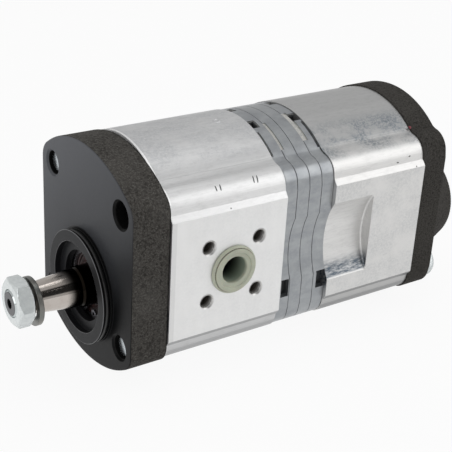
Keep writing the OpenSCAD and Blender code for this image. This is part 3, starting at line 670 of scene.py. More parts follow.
@dataclass(frozen=True)
class CastFinish:
    """Dark coated casting: rough sand-cast skin, with the machined faces smooth and painted shade in the
    bores.
    """

    name: str
    skin: Colour
    light_grain: Colour
    smooth: Colour
    machined: Machined
    grain_depth: float = 0.16
    grain_scale: float = 1.5
    bore_r: float = 6.5
    bolt_gap: float = 1.3
    # Painted shade factor for the pilot, its recess and its bore.
    pilot_shade_factor: Colour = (0.17, 0.17, 0.17)
    # Painted highlight colour for the pilot's edges, then painted shade colour for its groove.
    crest_highlight_tone: Colour = (0.30, 0.30, 0.31)
    groove_shade_tone: Colour = (0.006, 0.006, 0.006)
    # Painted shade colour for the bore walls.
    bore_shade_tone: Colour = (0.004, 0.004, 0.004)
    pilot_reach: float = 25.6
    pilot_to_x: float = 12.0
    front_to_x: float = 4.0
    seats_to_x: float = 160.6
    crest_highlight_to_x: float = -4.25
    crest_highlight_bands: tuple[tuple[float, float], ...] = ((24.72, 25.1), (19.9, 20.2))
    groove_span: tuple[float, float] = (-4.1, -0.1)
    groove_reach: float = 24.6

    @property
    def is_flange(self) -> bool:
        """Whether the casting is the flange, which is machined at its front."""
        return self.machined is Machined.FRONT

    def rough_skin(self, g: Graph, grain: Socket, pits: Socket) -> Socket:
        """Light grain, dark pits and faint pale patches."""
        patches = g.noise(0.05, 2, shift=(9, 2, 4))
        skin = g.spotted(grain, [(0.46, 0.0), (0.66, 1.0)], self.skin, self.light_grain)
        skin = g.spotted(pits, [(0.38, 0.75), (0.52, 0.0)], skin, toned(self.skin, 0.4))
        return g.spotted(patches, [(0.45, 0.0), (0.7, 0.25)], skin, self.light_grain)

    def satin(self, g: Graph, pilot: Socket) -> Socket:
        """Machined tone.

        The flange's front has painted shade: palest high up on the far side and darker towards the near
        lower edge. Its pilot, with the recess and bore inside it, takes one darker painted shade factor
        instead.
        """
        satin = g.mix(g.noise(0.12, 3, shift=(1, 7, 2)), toned(self.smooth, 0.9), self.smooth)
        if not self.is_flange:
            return satin
        _, y, z = g.place()
        slant = g.plus(g.times(y, 0.55), g.times(z, 0.8))
        height = g.math("DIVIDE", g.plus(slant, 40.0), 105.0, clamp=True)
        # Painted shade: a colour factor that falls from the high far side to the near lower edge.
        painted_shade_ramp = g.ramp(height, [(0.05, 0.02), (0.25, 0.06), (0.6, 0.6), (0.95, 1.15)])
        made = g.node("ShaderNodeMix", data_type="RGBA", blend_type="MULTIPLY")
        made.inputs[0].default_value = 1.0
        g.link(satin, made.inputs[6])
        g.link(g.mix(pilot, painted_shade_ramp, self.pilot_shade_factor), made.inputs[7])
        return made.outputs[2]

    def shaded_bores(self, g: Graph) -> Socket:
        """Mask of painted shade in the holes: every place nearer to a hole's axis than the bore's
        radius, off the faces.
        """
        _, y, z = g.place()
        nx, _, _ = g.facing()
        near = [g.plus(g.distance(y, z, place), self.bolt_gap) for place in SIZES.bolts]
        near += [g.distance(y, z, place) for place in SIZES.open_holes]
        nearest = functools.reduce(lambda a, b: g.math("MINIMUM", a, b), near)
        wall = g.times(g.above(nx, -0.86, 0.06), g.below(nx, 0.5, 0.2))
        return g.times(g.below(nearest, self.bore_r, 0.1), wall)

    def pilot_highlights_and_shade(self, g: Graph, colour: Socket, reach: Socket) -> Socket:
        """Painted highlights on the pilot's edges, and painted shade in its groove and in the gap behind
        the flange.
        """
        x, _, _ = g.place()
        nx, _, _ = g.facing()
        # Painted highlight along bands of the pilot's edges.
        edges = g.most(*(g.between(reach, *band) for band in self.crest_highlight_bands))
        crest_highlight = g.times(g.below(x, self.crest_highlight_to_x), edges)
        colour = g.mix(g.times(crest_highlight, 0.6), colour, self.crest_highlight_tone)
        # Painted shade in the gap behind the flange and in the pilot's groove.
        back = SIZES.flange_t
        gap = g.times(g.between(x, back - 0.55, back + 0.1, 0.1), g.below(g.unsigned(nx), 0.9))
        rim = g.times(g.between(x, *self.groove_span), g.above(reach, self.groove_reach))
        return g.mix(g.most(gap, rim), colour, self.groove_shade_tone)

    def material(self) -> bpy.types.Material:
        """Grainy skin from three noises; the machined faces are picked by their normal and place."""
        g = Graph(self.name)
        x, y, z = g.place()
        nx, _, _ = g.facing()
        grain = g.noise(self.grain_scale, 5, roughness=0.7)
        pits = g.noise(0.6 * self.grain_scale, 4, roughness=0.6, shift=(5, 3, 1))
        reach = g.distance(y, z, DRIVE_AXIS)
        pilot = g.times(g.below(reach, self.pilot_reach), g.below(x, self.pilot_to_x))
        if self.is_flange:
            done = g.most(g.times(g.below(nx, -0.62, 0.06), g.below(x, self.front_to_x)), pilot)
        else:
            done = g.times(g.above(nx, 0.95, 0.03), g.below(x, self.seats_to_x, 0.2))
        colour = g.mix(done, self.rough_skin(g, grain, pits), self.satin(g, pilot))
        # Painted shade: the bore walls are coloured nearly black.
        colour = g.mix(self.shaded_bores(g), colour, self.bore_shade_tone)
        if self.is_flange:
            colour = self.pilot_highlights_and_shade(g, colour, reach)
        rough = g.blend(done, g.blend(grain, 0.7, 0.9), g.blend(g.noise(0.6, 3), 0.34, 0.44))
        height = g.plus(grain, g.times(pits, 0.9))
        height = g.blend(done, height, g.times(g.noise(3.0, 2), 0.03))
        return g.finish(colour, rough, 0.0, g.bump(height, self.grain_depth), Specular_IOR_Level=0.09)


@dataclass(frozen=True)
class ExtrusionFinish:
    """Extruded aluminium drawn along X, with milled port pads and faced ends."""

    name: str
    raw: Colour
    milled: Colour
    stain: Colour
    front_x: float
    crown_shade: float
    stain_amount: float
    stain_span: tuple[float, float]
    grime: Colour = (0.05, 0.075, 0.105)
    # Painted shade: the dull colour darkens the crown and the next one darkens the valley.
    dull: Colour = (0.12, 0.13, 0.14)
    valley_shade_tone: Colour = (0.12, 0.125, 0.13)
    # Painted shade colour for faces that look down.
    underside_shade_tone: Colour = (0.16, 0.165, 0.17)
    sawn_tone: Colour = (0.9, 0.9, 0.9)
    crown_from: float = 40.2
    pad_from_y: float = 40.6
    underside_shade_z: float = -10.0
    between_bodies_x: float = 95.0
    foot_z: tuple[float, float] = (-8.5, 3.0)
    foot_y: tuple[float, float] = (-40.6, -30.0)

    def drawn_skin(self, g: Graph, lines: Socket, up: Socket) -> Socket:
        """Faint die lines along X, with painted shade that darkens the crown and most of all the valley
        beside it.
        """
        bands = g.noise(0.16, 3, stretch=(0.04, 1, 1), shift=(2, 8, 5))
        drawn = g.noise(0.7, 5, stretch=(0.3, 1, 1), roughness=0.75, shift=(5, 5, 2))
        raw = g.spotted(lines, [(0.35, 0.0), (0.65, 1.0)], toned(self.raw, 0.93), self.raw)
        raw = g.spotted(bands, [(0.38, 0.3), (0.6, 0.0)], raw, toned(self.raw, 0.82))
        raw = g.spotted(drawn, [(0.34, 0.5), (0.52, 0.0)], raw, toned(self.raw, 0.76))
        # Painted shade: the crown is darkened towards the dull colour.
        raw = g.mix(g.times(g.above(up, self.crown_from, 0.7), self.crown_shade), raw, self.dull)
        # Painted shade in the valley between the crown and the shoulder.
        wide_valley_shade, narrow_shade = g.between(up, 37.6, 42.2, 2.6), g.between(up, 38.6, 40.2, 0.8)
        return g.mix(g.most(g.times(wide_valley_shade, 0.20), g.times(narrow_shade, 0.30)), raw, self.valley_shade_tone)

    def underside_shade_and_grime(self, g: Graph, raw: Socket) -> Socket:
        """Painted shade on faces that look down, low on the body, and streaks of grime in the hollow's
        foot.
        """
        x, y, z = g.place()
        _, _, nz = g.facing()
        # Painted shade: faces that look down, below a height, are darkened.
        under = g.times(g.below(nz, -0.2, 0.25), g.below(z, self.underside_shade_z, 1.0))
        shade = g.blend(g.above(x, self.between_bodies_x, 1.0), 0.62, 0.78)
        raw = g.mix(g.times(under, shade), raw, self.underside_shade_tone)
        foot = g.times(g.between(z, *self.foot_z, 3.2), g.between(y, *self.foot_y, 0.3))
        streaks = g.noise(0.9, 5, stretch=(0.3, 1, 1.1), roughness=0.7, shift=(1, 1, 6))
        return g.mix(g.times(foot, g.ramp(streaks, [(0.32, 0.3), (0.60, 0.95)])), raw, self.grime)

    def milled_face(self, g: Graph, patch: Socket) -> Socket:
        """Smooth and paler, with a little of the stain and a strip of painted shade at the front edge,
        beside the flange.
        """
        x, _, _ = g.place()
        sheen = g.noise(0.25, 4, stretch=(1, 1, 0.3), shift=(6, 2, 2))
        milled = g.mix(sheen, toned(self.milled, 0.92), self.milled)
        milled = g.mix(g.times(patch, self.stain_amount * 0.25), milled, self.stain)
        # Painted shade on the pad beside the flange.
        flange_shade_strip = g.below(x, self.front_x + 2.3, 0.15)
        return g.mix(g.times(flange_shade_strip, 0.35), milled, toned(self.milled, 0.7))

    def material(self) -> bpy.types.Material:
        """Raw skin with stains in a span of heights, milled pads and a sawn front edge."""
        g = Graph(self.name)
        x, y, z = g.place()
        _, ny, _ = g.facing()
        lines = g.noise(1.6, 5, stretch=(0.02, 1, 1), roughness=0.65)
        cloud = g.noise(0.085, 5, roughness=0.65, stretch=(0.7, 1, 1), shift=(4, 1, 9))
        speck = g.noise(0.9, 5, roughness=0.8, shift=(3, 3, 7))
        up = g.unsigned(g.minus(z, SIZES.mid_z))
        pad = g.times(g.above(g.unsigned(ny), 0.98, 0.015), g.above(g.unsigned(y), self.pad_from_y))
        broad = g.ramp(cloud, [(0.38, 0.05), (0.56, 1.0)])
        patch = g.times(broad, g.ramp(speck, [(0.40, 0.15), (0.60, 1.0)]))
        stained = g.times(patch, g.between(up, *self.stain_span, 1.8))
        amount = g.math("MULTIPLY", stained, self.stain_amount, clamp=True)
        raw = g.mix(amount, self.drawn_skin(g, lines, up), self.stain)
        colour = g.mix(pad, self.underside_shade_and_grime(g, raw), self.milled_face(g, patch))
        sawn = g.times(g.below(x, self.front_x + 0.9, 0.1), g.above(up, 33.0, 1.0))
        bare = g.ramp(g.noise(1.2, 3), [(0.3, 0.5), (0.5, 1.0)])
        colour = g.mix(g.times(sawn, bare), colour, self.sawn_tone)
        rough = g.blend(pad, g.blend(lines, 0.38, 0.46), g.blend(speck, 0.46, 0.56))
        rough = g.plus(rough, g.times(stained, 0.12))
        relief = g.blend(pad, lines, g.times(speck, 0.25))
        normal = g.bump(relief, 0.03, 0.6, g.soft_edges(0.4))
        return g.finish(colour, rough, 0.9, normal, Specular_IOR_Level=0.5)


@dataclass(frozen=True)
class DieCastFinish:
    """Grey die-cast aluminium, with dirt in the seams, raw rebates and painted shade in the pockets."""

    name: str
    base: Colour
    dark: Colour
    raw: Colour
    # Dark colour for dirt in the seams and painted shade in the pockets.
    dirt_and_shade: Colour = (0.03, 0.03, 0.032)
    notch_z: tuple[float, float] = (-6.9, 0.9)
    notch_y: tuple[float, float] = (-37.2, -34.0)

    def depth_and_crown(self, g: Graph) -> tuple[Socket, Socket]:
        """Depth below the rim, and a mask of the crowns.

        The depth is the crown's radius less the distance from the crown's centre, for top and bottom
        alike: r - sqrt(y^2 + (|z - mid| - offset)^2).
        """
        s = SIZES
        _, y, z = g.place()
        up = g.unsigned(g.minus(z, s.mid_z))
        reach = g.distance(y, up, s.crown_at.tolist())
        depth = g.minus(s.crown_r - s.plate_inset, reach)
        return depth, g.times(g.above(up, 38.0, 0.2), g.below(depth, 4.5, 0.1))

    def seams(self, g: Graph) -> Socket:
        """Mask of dark lines at whole plate thicknesses along X."""
        s = SIZES
        x, _, _ = g.place()
        along = g.math("FRACT", g.math("DIVIDE", g.minus(x, s.plates_x), s.plate_t))
        near = g.math("MINIMUM", along, g.minus(1.0, along))
        broken = g.ramp(g.noise(0.25, 3, shift=(8, 8, 1)), [(0.35, 0.45), (0.6, 1.0)])
        return g.times(g.below(near, 0.024, 0.014), broken)

    def material(self) -> bpy.types.Material:
        """Smooth grey with faint mottling. Shallow rebates show raw metal and deep pockets get painted
        shade.
        """
        g = Graph(self.name)
        _, y, z = g.place()
        mottle = g.noise(0.22, 5, roughness=0.6, stretch=(0.6, 1, 1))
        fine = g.noise(1.1, 4, roughness=0.75, shift=(1, 4, 2))
        colour = g.spotted(mottle, [(0.3, 0.0), (0.7, 1.0)], self.dark, self.base)
        colour = g.spotted(fine, [(0.55, 0.0), (0.75, 0.3)], colour, toned(self.base, 1.3))
        depth, crown = self.depth_and_crown(g)
        rebate = g.times(g.between(depth, 0.36, 0.75, 0.1), crown)
        colour = g.mix(g.times(rebate, g.ramp(fine, [(0.36, 0.35), (0.56, 1.0)])), colour, self.raw)
        side = g.times(g.between(z, *self.notch_z, 0.1), g.between(y, *self.notch_y, 0.2))
        # Painted shade in the deep pockets and the side notch; the seams are dark with dirt.
        pocket_shade = g.most(g.times(g.above(depth, 1.6, 0.4), crown), side)
        dirt_and_shade = g.most(g.times(pocket_shade, 0.80), g.times(self.seams(g), 0.85))
        colour = g.mix(dirt_and_shade, colour, self.dirt_and_shade)
        normal = g.bump(g.plus(mottle, g.times(fine, 0.35)), 0.05, 0.7)
        metal = g.blend(g.most(dirt_and_shade, rebate), 0.88, 0.2)
        return g.finish(colour, g.blend(fine, 0.26, 0.38), metal, normal)


@dataclass(frozen=True)
class SteelFinish:
    """Turned or ground steel: turning lines run round an axis along X."""

    name: str
    base: Colour
    roughness: float
    line_depth: float = 0.01
    tint: Colour = (0.30, 0.24, 0.19)
    tint_amount: float = 0.25
    # Painted shade: behind this x the steel is nearly black, for oil and for the shade near the flange's
    # bore.
    oil_and_shade_from_x: float = 1000.0
    dark_to_x: float = -1000.0
    oil_and_shade: Colour = (0.010, 0.008, 0.006)
    end_tone: Colour = (0.09, 0.09, 0.095)
    # Painted shade colour for the centre drilling.
    drilling_shade_tone: Colour = (0.004, 0.004, 0.004)
    end_rim_tone: Colour = (0.56, 0.60, 0.60)
    drilling_r: float = 2.3
    end_rim_r: float = 5.15

    def material(self) -> bpy.types.Material:
        """Lines from a noise that changes only along X, and a faint oil tint in patches.

        Behind a limit along X the steel is nearly black, with oil and with painted shade near the
        flange's bore. In front of another it is dark, painted black as shade in the centre drilling, and
        pale at the rim.
        """
        g = Graph(self.name)
        x, y, z = g.place()
        lines = g.noise(6.0, 4, stretch=(1, 0.02, 0.02), roughness=0.7)
        patch = g.ramp(g.noise(0.18, 4, shift=(3, 1, 1)), [(0.4, 0.0), (0.7, 1.0)])
        colour = g.mix(g.times(patch, self.tint_amount), self.base, self.tint)
        # Oil and painted shade behind the limit along X.
        colour = g.mix(g.above(x, self.oil_and_shade_from_x, 2.5), colour, self.oil_and_shade)
        reach = g.distance(y, z, DRIVE_AXIS)
        # Painted shade: black in the centre drilling.
        end = g.mix(g.below(reach, self.drilling_r, 0.4), self.end_tone, self.drilling_shade_tone)
        end = g.mix(g.above(reach, self.end_rim_r, 0.1), end, self.end_rim_tone)
        colour = g.mix(g.below(x, self.dark_to_x), colour, end)
        rough = g.blend(lines, self.roughness * 0.8, self.roughness * 1.25)
        return g.finish(colour, rough, 1.0, g.bump(lines, self.line_depth, 0.6, g.soft_edges(0.2)))


@dataclass(frozen=True)
class ZincFinish:
    """Bright bluish zinc plating on forged or turned steel."""

    name: str
    base: Colour
    cloudy: Colour
    dull_to_x: float = -100.0
    metal: float = 0.95
    dull: tuple[Colour, Colour] = ((0.42, 0.46, 0.49), (0.60, 0.64, 0.66))

    def material(self) -> bpy.types.Material:
        """Cloudy plating over a slightly uneven forged surface; dull grey where X is below a limit."""
        g = Graph(self.name)
        x, _, _ = g.place()
        cloud = g.noise(0.5, 5, roughness=0.65)
        fine = g.noise(4.0, 3, shift=(2, 2, 8))
        colour = g.spotted(cloud, [(0.35, 0.0), (0.7, 1.0)], self.base, self.cloudy)
        colour = g.mix(g.below(x, self.dull_to_x), colour, g.mix(cloud, *self.dull))
        return g.finish(colour, g.blend(fine, 0.18, 0.30), self.metal, g.bump(cloud, 0.05, 0.5))


@dataclass(frozen=True)
class ThreadFinish:
    """Cut thread in aluminium, in its own colour at its mouth and with painted shade deeper in."""

    name: str
    mouth: Colour
    # Painted shade colour deep in the hole.
    deep: Colour
    shade_fade: float = 3.4

    def material(self) -> bpy.types.Material:
        """Painted shade grows with depth below the pad: (pad - |y|) over the fade length, held between 0
        and 1.
        """
        g = Graph(self.name)
        _, y, _ = g.place()
        depth = g.minus(SIZES.pad_y, g.unsigned(y))
        swarf = g.noise(1.4, 4)
        # Painted shade: darker with depth in the hole.
        colour = g.mix(g.math("DIVIDE", depth, self.shade_fade, clamp=True), self.mouth, self.deep)
        colour = g.mix(g.times(swarf, 0.4), colour, self.deep)
        return g.finish(colour, 0.36, 0.95, g.bump(swarf, 0.03, 0.4))


@dataclass(frozen=True)
class RubberFinish:
    """Moulded rubber with a faint bloom."""

    name: str
    base: Colour
    bloom: Colour
    roughness: float

    def material(self) -> bpy.types.Material:
        """Dark base with a paler bloom where the noise is high."""
        g = Graph(self.name)
        bloom = g.noise(0.8, 4)
        colour = g.spotted(bloom, [(0.45, 0.0), (0.8, 0.6)], self.base, self.bloom)
        rough = g.blend(bloom, self.roughness, self.roughness + 0.15)
        return g.finish(colour, rough, 0.0, g.bump(g.noise(2.5, 3), 0.02, 0.5))


@dataclass(frozen=True)
class PlasticFinish:
    """Slightly translucent moulded polyethylene, with painted shade deep inside the cup."""

    name: str
    base: Colour
    shade: Colour
    # Painted shade colours inside the cup: the first on its walls, the second deep down.
    inner: Colour
    deep: Colour
    dirt_and_shade: Colour = (0.06, 0.045, 0.03)
    rear_from_x: float = 175.0

    def material(self) -> bpy.types.Material:
        """Soft waxy plastic with flow marks; light spreads a little under its surface.

        The depth below the port's face is pad_y - |y| at the side ports and boss_x - x at the rear one.
        Dirt and painted shade lie in the narrow notch outside the port, where little open space is near.
        """
        g = Graph(self.name)
        x, y, _ = g.place()
        flow = g.noise(0.22, 4, shift=(7, 1, 3))
        fine = g.noise(3.0, 3)
        colour = g.spotted(flow, [(0.3, 0.0), (0.7, 1.0)], self.shade, self.base)
        colour = g.spotted(fine, [(0.3, 0.25), (0.5, 0.0)], colour, toned(self.base, 0.8))
        side = g.minus(SIZES.pad_y, g.unsigned(y))
        depth = g.blend(g.above(x, self.rear_from_x, 1.0), side, g.minus(SIZES.boss_x, x))
        # Painted shade inside the cup, black deep down.
        colour = g.mix(g.above(depth, 0.0, 0.6), colour, self.inner)
        colour = g.mix(g.above(depth, 5.5, 4.5), colour, self.deep)
        # Ambient occlusion darkens the narrow notch: dirt and painted shade.
        nook = g.node("ShaderNodeAmbientOcclusion", samples=6, only_local=True)
        nook.inputs["Distance"].default_value = 0.5 * MM
        narrow_shade = g.ramp(nook.outputs["AO"], [(0.52, 1.0), (0.80, 0.0)])
        colour = g.mix(g.times(narrow_shade, g.below(depth, -1.3, 0.1)), colour, self.dirt_and_shade)
        return g.finish(
            colour,
            g.blend(fine, 0.36, 0.5),
            0.0,
            g.bump(fine, 0.02, 0.4),
            Subsurface_Weight=0.06,
            Subsurface_Scale=0.0015,
            IOR=1.5,
        )


@dataclass(frozen=True)
class BearingFinish:
    """Bearing metal with fine open pores."""

    name: str
    base: Colour
    pore: Colour

    def material(self) -> bpy.types.Material:
        """Pores are the low spots of a fine noise."""
        g = Graph(self.name)
        pores = g.noise(3.0, 4, roughness=0.7)
        colour = g.spotted(pores, [(0.35, 0.0), (0.55, 1.0)], self.pore, self.base)
        return g.finish(colour, 0.45, 0.9, g.bump(pores, 0.02, 0.5))


@dataclass(frozen=True)
class PaintFinish:
    """A dab of brushed-on marking paint."""

    name: str
    base: Colour
    thin: Colour

    def material(self) -> bpy.types.Material:
        """Thick and thin spots of one paint."""
        g = Graph(self.name)
        flow = g.noise(1.5, 3)
        return g.finish(g.mix(flow, self.base, self.thin), 0.4, 0.0, g.bump(flow, 0.03, 0.5))


AnyFinish = (
    CastFinish
    | ExtrusionFinish
    | DieCastFinish
    | SteelFinish
    | ZincFinish
    | ThreadFinish
    | RubberFinish
    | PlasticFinish
    | BearingFinish
    | PaintFinish
)


@functools.cache
def made_once(finish: AnyFinish) -> bpy.types.Material:
    """The finish's material, made when it is first asked for and kept for the next piece."""
    return finish.material()


class Finish(Enum):
    """Every finish on the pump. Each makes its material once."""

    FLANGE = CastFinish(
        "flange_cast_skin",
        skin=(0.054, 0.050, 0.045),
        light_grain=(0.132, 0.127, 0.118),
        smooth=(0.100, 0.104, 0.114),
        machined=Machined.FRONT,
    )
    COVER = CastFinish(
        "cover_cast_skin",
        skin=(0.044, 0.041, 0.037),
        light_grain=(0.081, 0.077, 0.071),
        smooth=(0.20, 0.20, 0.20),
        machined=Machined.BACK_SEATS,
        grain_depth=0.10,
        grain_scale=1.8,
        bore_r=5.4,
        bolt_gap=0.0,
    )
    FRONT_BODY = ExtrusionFinish(
        "front_body_extrusion",
        raw=(0.80, 0.80, 0.80),
        milled=(0.85, 0.85, 0.845),
        stain=(0.34, 0.36, 0.39),
        front_x=17.1,
        crown_shade=0.14,
        stain_amount=0.34,
        stain_span=(42.5, 52.0),
    )
    REAR_BODY = ExtrusionFinish(
        "rear_body_extrusion",
        raw=(0.75, 0.745, 0.735),
        milled=(0.74, 0.735, 0.725),
        stain=(0.13, 0.165, 0.20),
        front_x=90.0,
        crown_shade=0.38,
        stain_amount=0.8,
        stain_span=(37.4, 46.0),
    )
    PLATE = DieCastFinish("plate_die_cast", (0.385, 0.40, 0.41), (0.28, 0.293, 0.31), (0.62, 0.61, 0.57))
    BLOCK = BearingFinish("block_aluminium_cast", (0.60, 0.60, 0.58), (0.45, 0.45, 0.44))
    SHAFT = SteelFinish(
        "ground_shaft_steel", (0.50, 0.46, 0.425), 0.10, 0.02, oil_and_shade_from_x=-10.0, dark_to_x=-27.0
    )
    GEAR = SteelFinish("ground_gear_steel", (0.50, 0.51, 0.53), 0.22)
    WASHER = SteelFinish("blackened_spring_steel", (0.19, 0.195, 0.185), 0.30, 0.02)
    CIRCLIP = SteelFinish("blued_spring_steel", (0.20, 0.20, 0.22), 0.28, 0.02)
    KEY = SteelFinish("bright_key_steel", (0.50, 0.50, 0.50), 0.3)
    ZINC = ZincFinish("zinc_plate", (0.72, 0.76, 0.765), (0.86, 0.90, 0.89), metal=0.35)
    BOLT = ZincFinish("bolt_zinc", (0.50, 0.53, 0.54), (0.66, 0.69, 0.69), 20.0)
    BLACK_RUBBER = RubberFinish("ring_rubber", (0.008, 0.008, 0.008), (0.020, 0.020, 0.020), 0.26)
    BROWN_RUBBER = RubberFinish("seal_rubber", (0.022, 0.009, 0.008), (0.10, 0.035, 0.035), 0.24)
    PLUG = PlasticFinish(
        "pale_green_plastic",
        base=(0.53, 0.55, 0.435),
        shade=(0.45, 0.47, 0.375),
        inner=(0.29, 0.34, 0.27),
        deep=(0.014, 0.018, 0.015),
    )
    BUSH = BearingFinish("bush_lining_bronze", (0.42, 0.30, 0.16), (0.20, 0.13, 0.07))
    THREAD = ThreadFinish("cut_aluminium_thread", (0.80, 0.80, 0.79), (0.15, 0.135, 0.12))
    PAINT = PaintFinish("red_marking_paint", (0.26, 0.02, 0.035), (0.16, 0.02, 0.03))
    SCRIBE = PaintFinish("scribed_line", (0.05, 0.05, 0.05), (0.11, 0.11, 0.11))

    @property
    def made(self) -> bpy.types.Material:
        """The finish's material, made on first use."""
        return made_once(self.value)


@dataclass(frozen=True)
class Fitting:
    """How a piece belongs to the pump: its body, finish, slot and the CAD nodes that it stands for."""

    body: str
    finish: Finish
    slot: str
    replaced: tuple[str, ...] = ()

    def apply(self, piece: bpy.types.Object) -> None:
        """Gives the piece its finish and ties it to its body."""
        piece.data.materials.clear()
        piece.data.materials.append(self.finish.made)
        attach(piece, self.body)
        if self.replaced:
            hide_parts(*self.replaced)
        LOG.info("%s: %d faces on %s", piece.name, len(piece.data.polygons), self.body)


def dress(finish: Finish, *nodes: str) -> None:
    """Gives carried-over CAD nodes their finish."""
    for node in nodes:
        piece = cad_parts[node]
        piece.data.materials.clear()
        piece.data.materials.append(finish.made)
        LOG.info("%s: dressed as %s", node, finish.value.name)


@dataclass
class MountingFlange:
    """Front casting with its pilot, O-ring, shaft seal and circlip."""

    front_edge: float = 0.55
    back_edge: float = 0.5
    pilot_r: float = 25.0
    pilot_h: float = 4.5
    groove: tuple[float, float] = (-3.45, -1.05)
    groove_r: float = 22.6
    ring_at: tuple[float, float] = (23.75, -2.25)
    ring_r: float = 1.15
    recess_r: float = 20.0
    recess_x: float = -1.5
    seal_r: float = 15.5
    seal_x: tuple[float, float] = (3.2, 10.2)
    clip_x: tuple[float, float] = (1.7, 3.1)
    clip_groove: float = 0.8
    passage_r: float = 11.0
    bolt_bore_r: float = 5.05
    hole_chamfer: float = 1.0

    def pilot_profile(self) -> Array:
        """(radius, x) from the mounting face over the pilot and down its bore to the back face."""
        g0, g1 = self.groove
        c0, c1 = self.clip_x
        corners = [
            (self.pilot_r, 0.0),
            (self.pilot_r, g1),
            (self.groove_r, g1),
            (self.groove_r, g0),
            (self.pilot_r, g0),
            (self.pilot_r, -self.pilot_h),
            (self.recess_r, -self.pilot_h),
            (self.recess_r, self.recess_x),
            (self.seal_r, self.recess_x),
            (self.seal_r, c0),
            (self.seal_r + self.clip_groove, c0),
            (self.seal_r + self.clip_groove, c1),
            (self.seal_r, c1),
            (self.seal_r, self.seal_x[1]),
            (self.passage_r, self.seal_x[1]),
            (self.passage_r, SIZES.flange_t),
        ]
        return rounded(corners, 0.35)

    def casting(self) -> bpy.types.Object:
        """Outline carried from the front to the back with rounded edges, then holes and pilot."""
        s, shape, c = SIZES, Surface(), self.hole_chamfer
        ends = round_ended(0, s.flange_t, self.front_edge, self.back_edge)
        rows = sweep_rows(refined(flange_loop(), 1.2), ends)
        walls = [lathe(self.pilot_profile(), count=144)]
        for radius, places in ((s.mount_hole_r, s.open_holes), (self.bolt_bore_r, s.bolts)):
            hole = rounded([(radius + c, 0), (radius, c), (radius, s.flange_t)], 0.3)
            walls += [lathe(hole, place, 64) for place in places]
        for part in (rows, *walls):
            shape.grid(part)
        for end, level in ((0, 0.0), (-1, s.flange_t)):
            shape.fill(rows[end, :, 1:], [wall[end, :, 1:] for wall in walls], level)
        return shape.build("flange_casting")

    def o_ring(self) -> bpy.types.Object:
        """Torus (R + r cos t, r sin t) turned about the drive axis."""
        profile, shape = around(self.ring_at, self.ring_r, full_turn(24)), Surface()
        shape.grid(lathe(np.concatenate([profile, profile[:1]]), count=144))
        return shape.build("pilot_ring")

    def seal(self) -> bpy.types.Object:
        """Lip seal turned from a rounded profile: case, thin web, lip on the shaft and dust lip."""
        x0, x1 = self.seal_x
        corners = [
            (self.seal_r - 0.02, x0 + 0.4),
            (self.seal_r - 0.02, x1),
            (self.seal_r - 1.2, x1),
            (self.seal_r - 1.2, x0 + 1.9),
            (12.2, x0 + 1.9),
            (11.4, x0 + 5.4),
            (10.3, x0 + 5.6),
            (9.06, x0 + 4.2),
            (9.9, x0 + 1.9),
            (9.15, x0 + 0.5),
            (9.6, x0 + 0.15),
            (10.6, x0 + 1.0),
            (12.6, x0 + 1.0),
            (13.0, x0),
            (self.seal_r - 0.5, x0),
        ]
        shape = Surface()
        shape.grid(lathe(rounded([*corners, corners[0]], 0.3), count=120))
        return shape.build("shaft_lip_seal", 40)

    def build(self) -> None:
        """Makes and places the flange's pieces."""
        Fitting(PUMP, Finish.FLANGE, "flange_cast", ("front_flange",)).apply(self.casting())
        Fitting(PUMP, Finish.BLACK_RUBBER, "black_rubber", ("pilot_o_ring",)).apply(self.o_ring())
        Fitting(PUMP, Finish.BROWN_RUBBER, "brown_rubber", ("shaft_seal",)).apply(self.seal())
        dress(Finish.CIRCLIP, "seal_circlip")


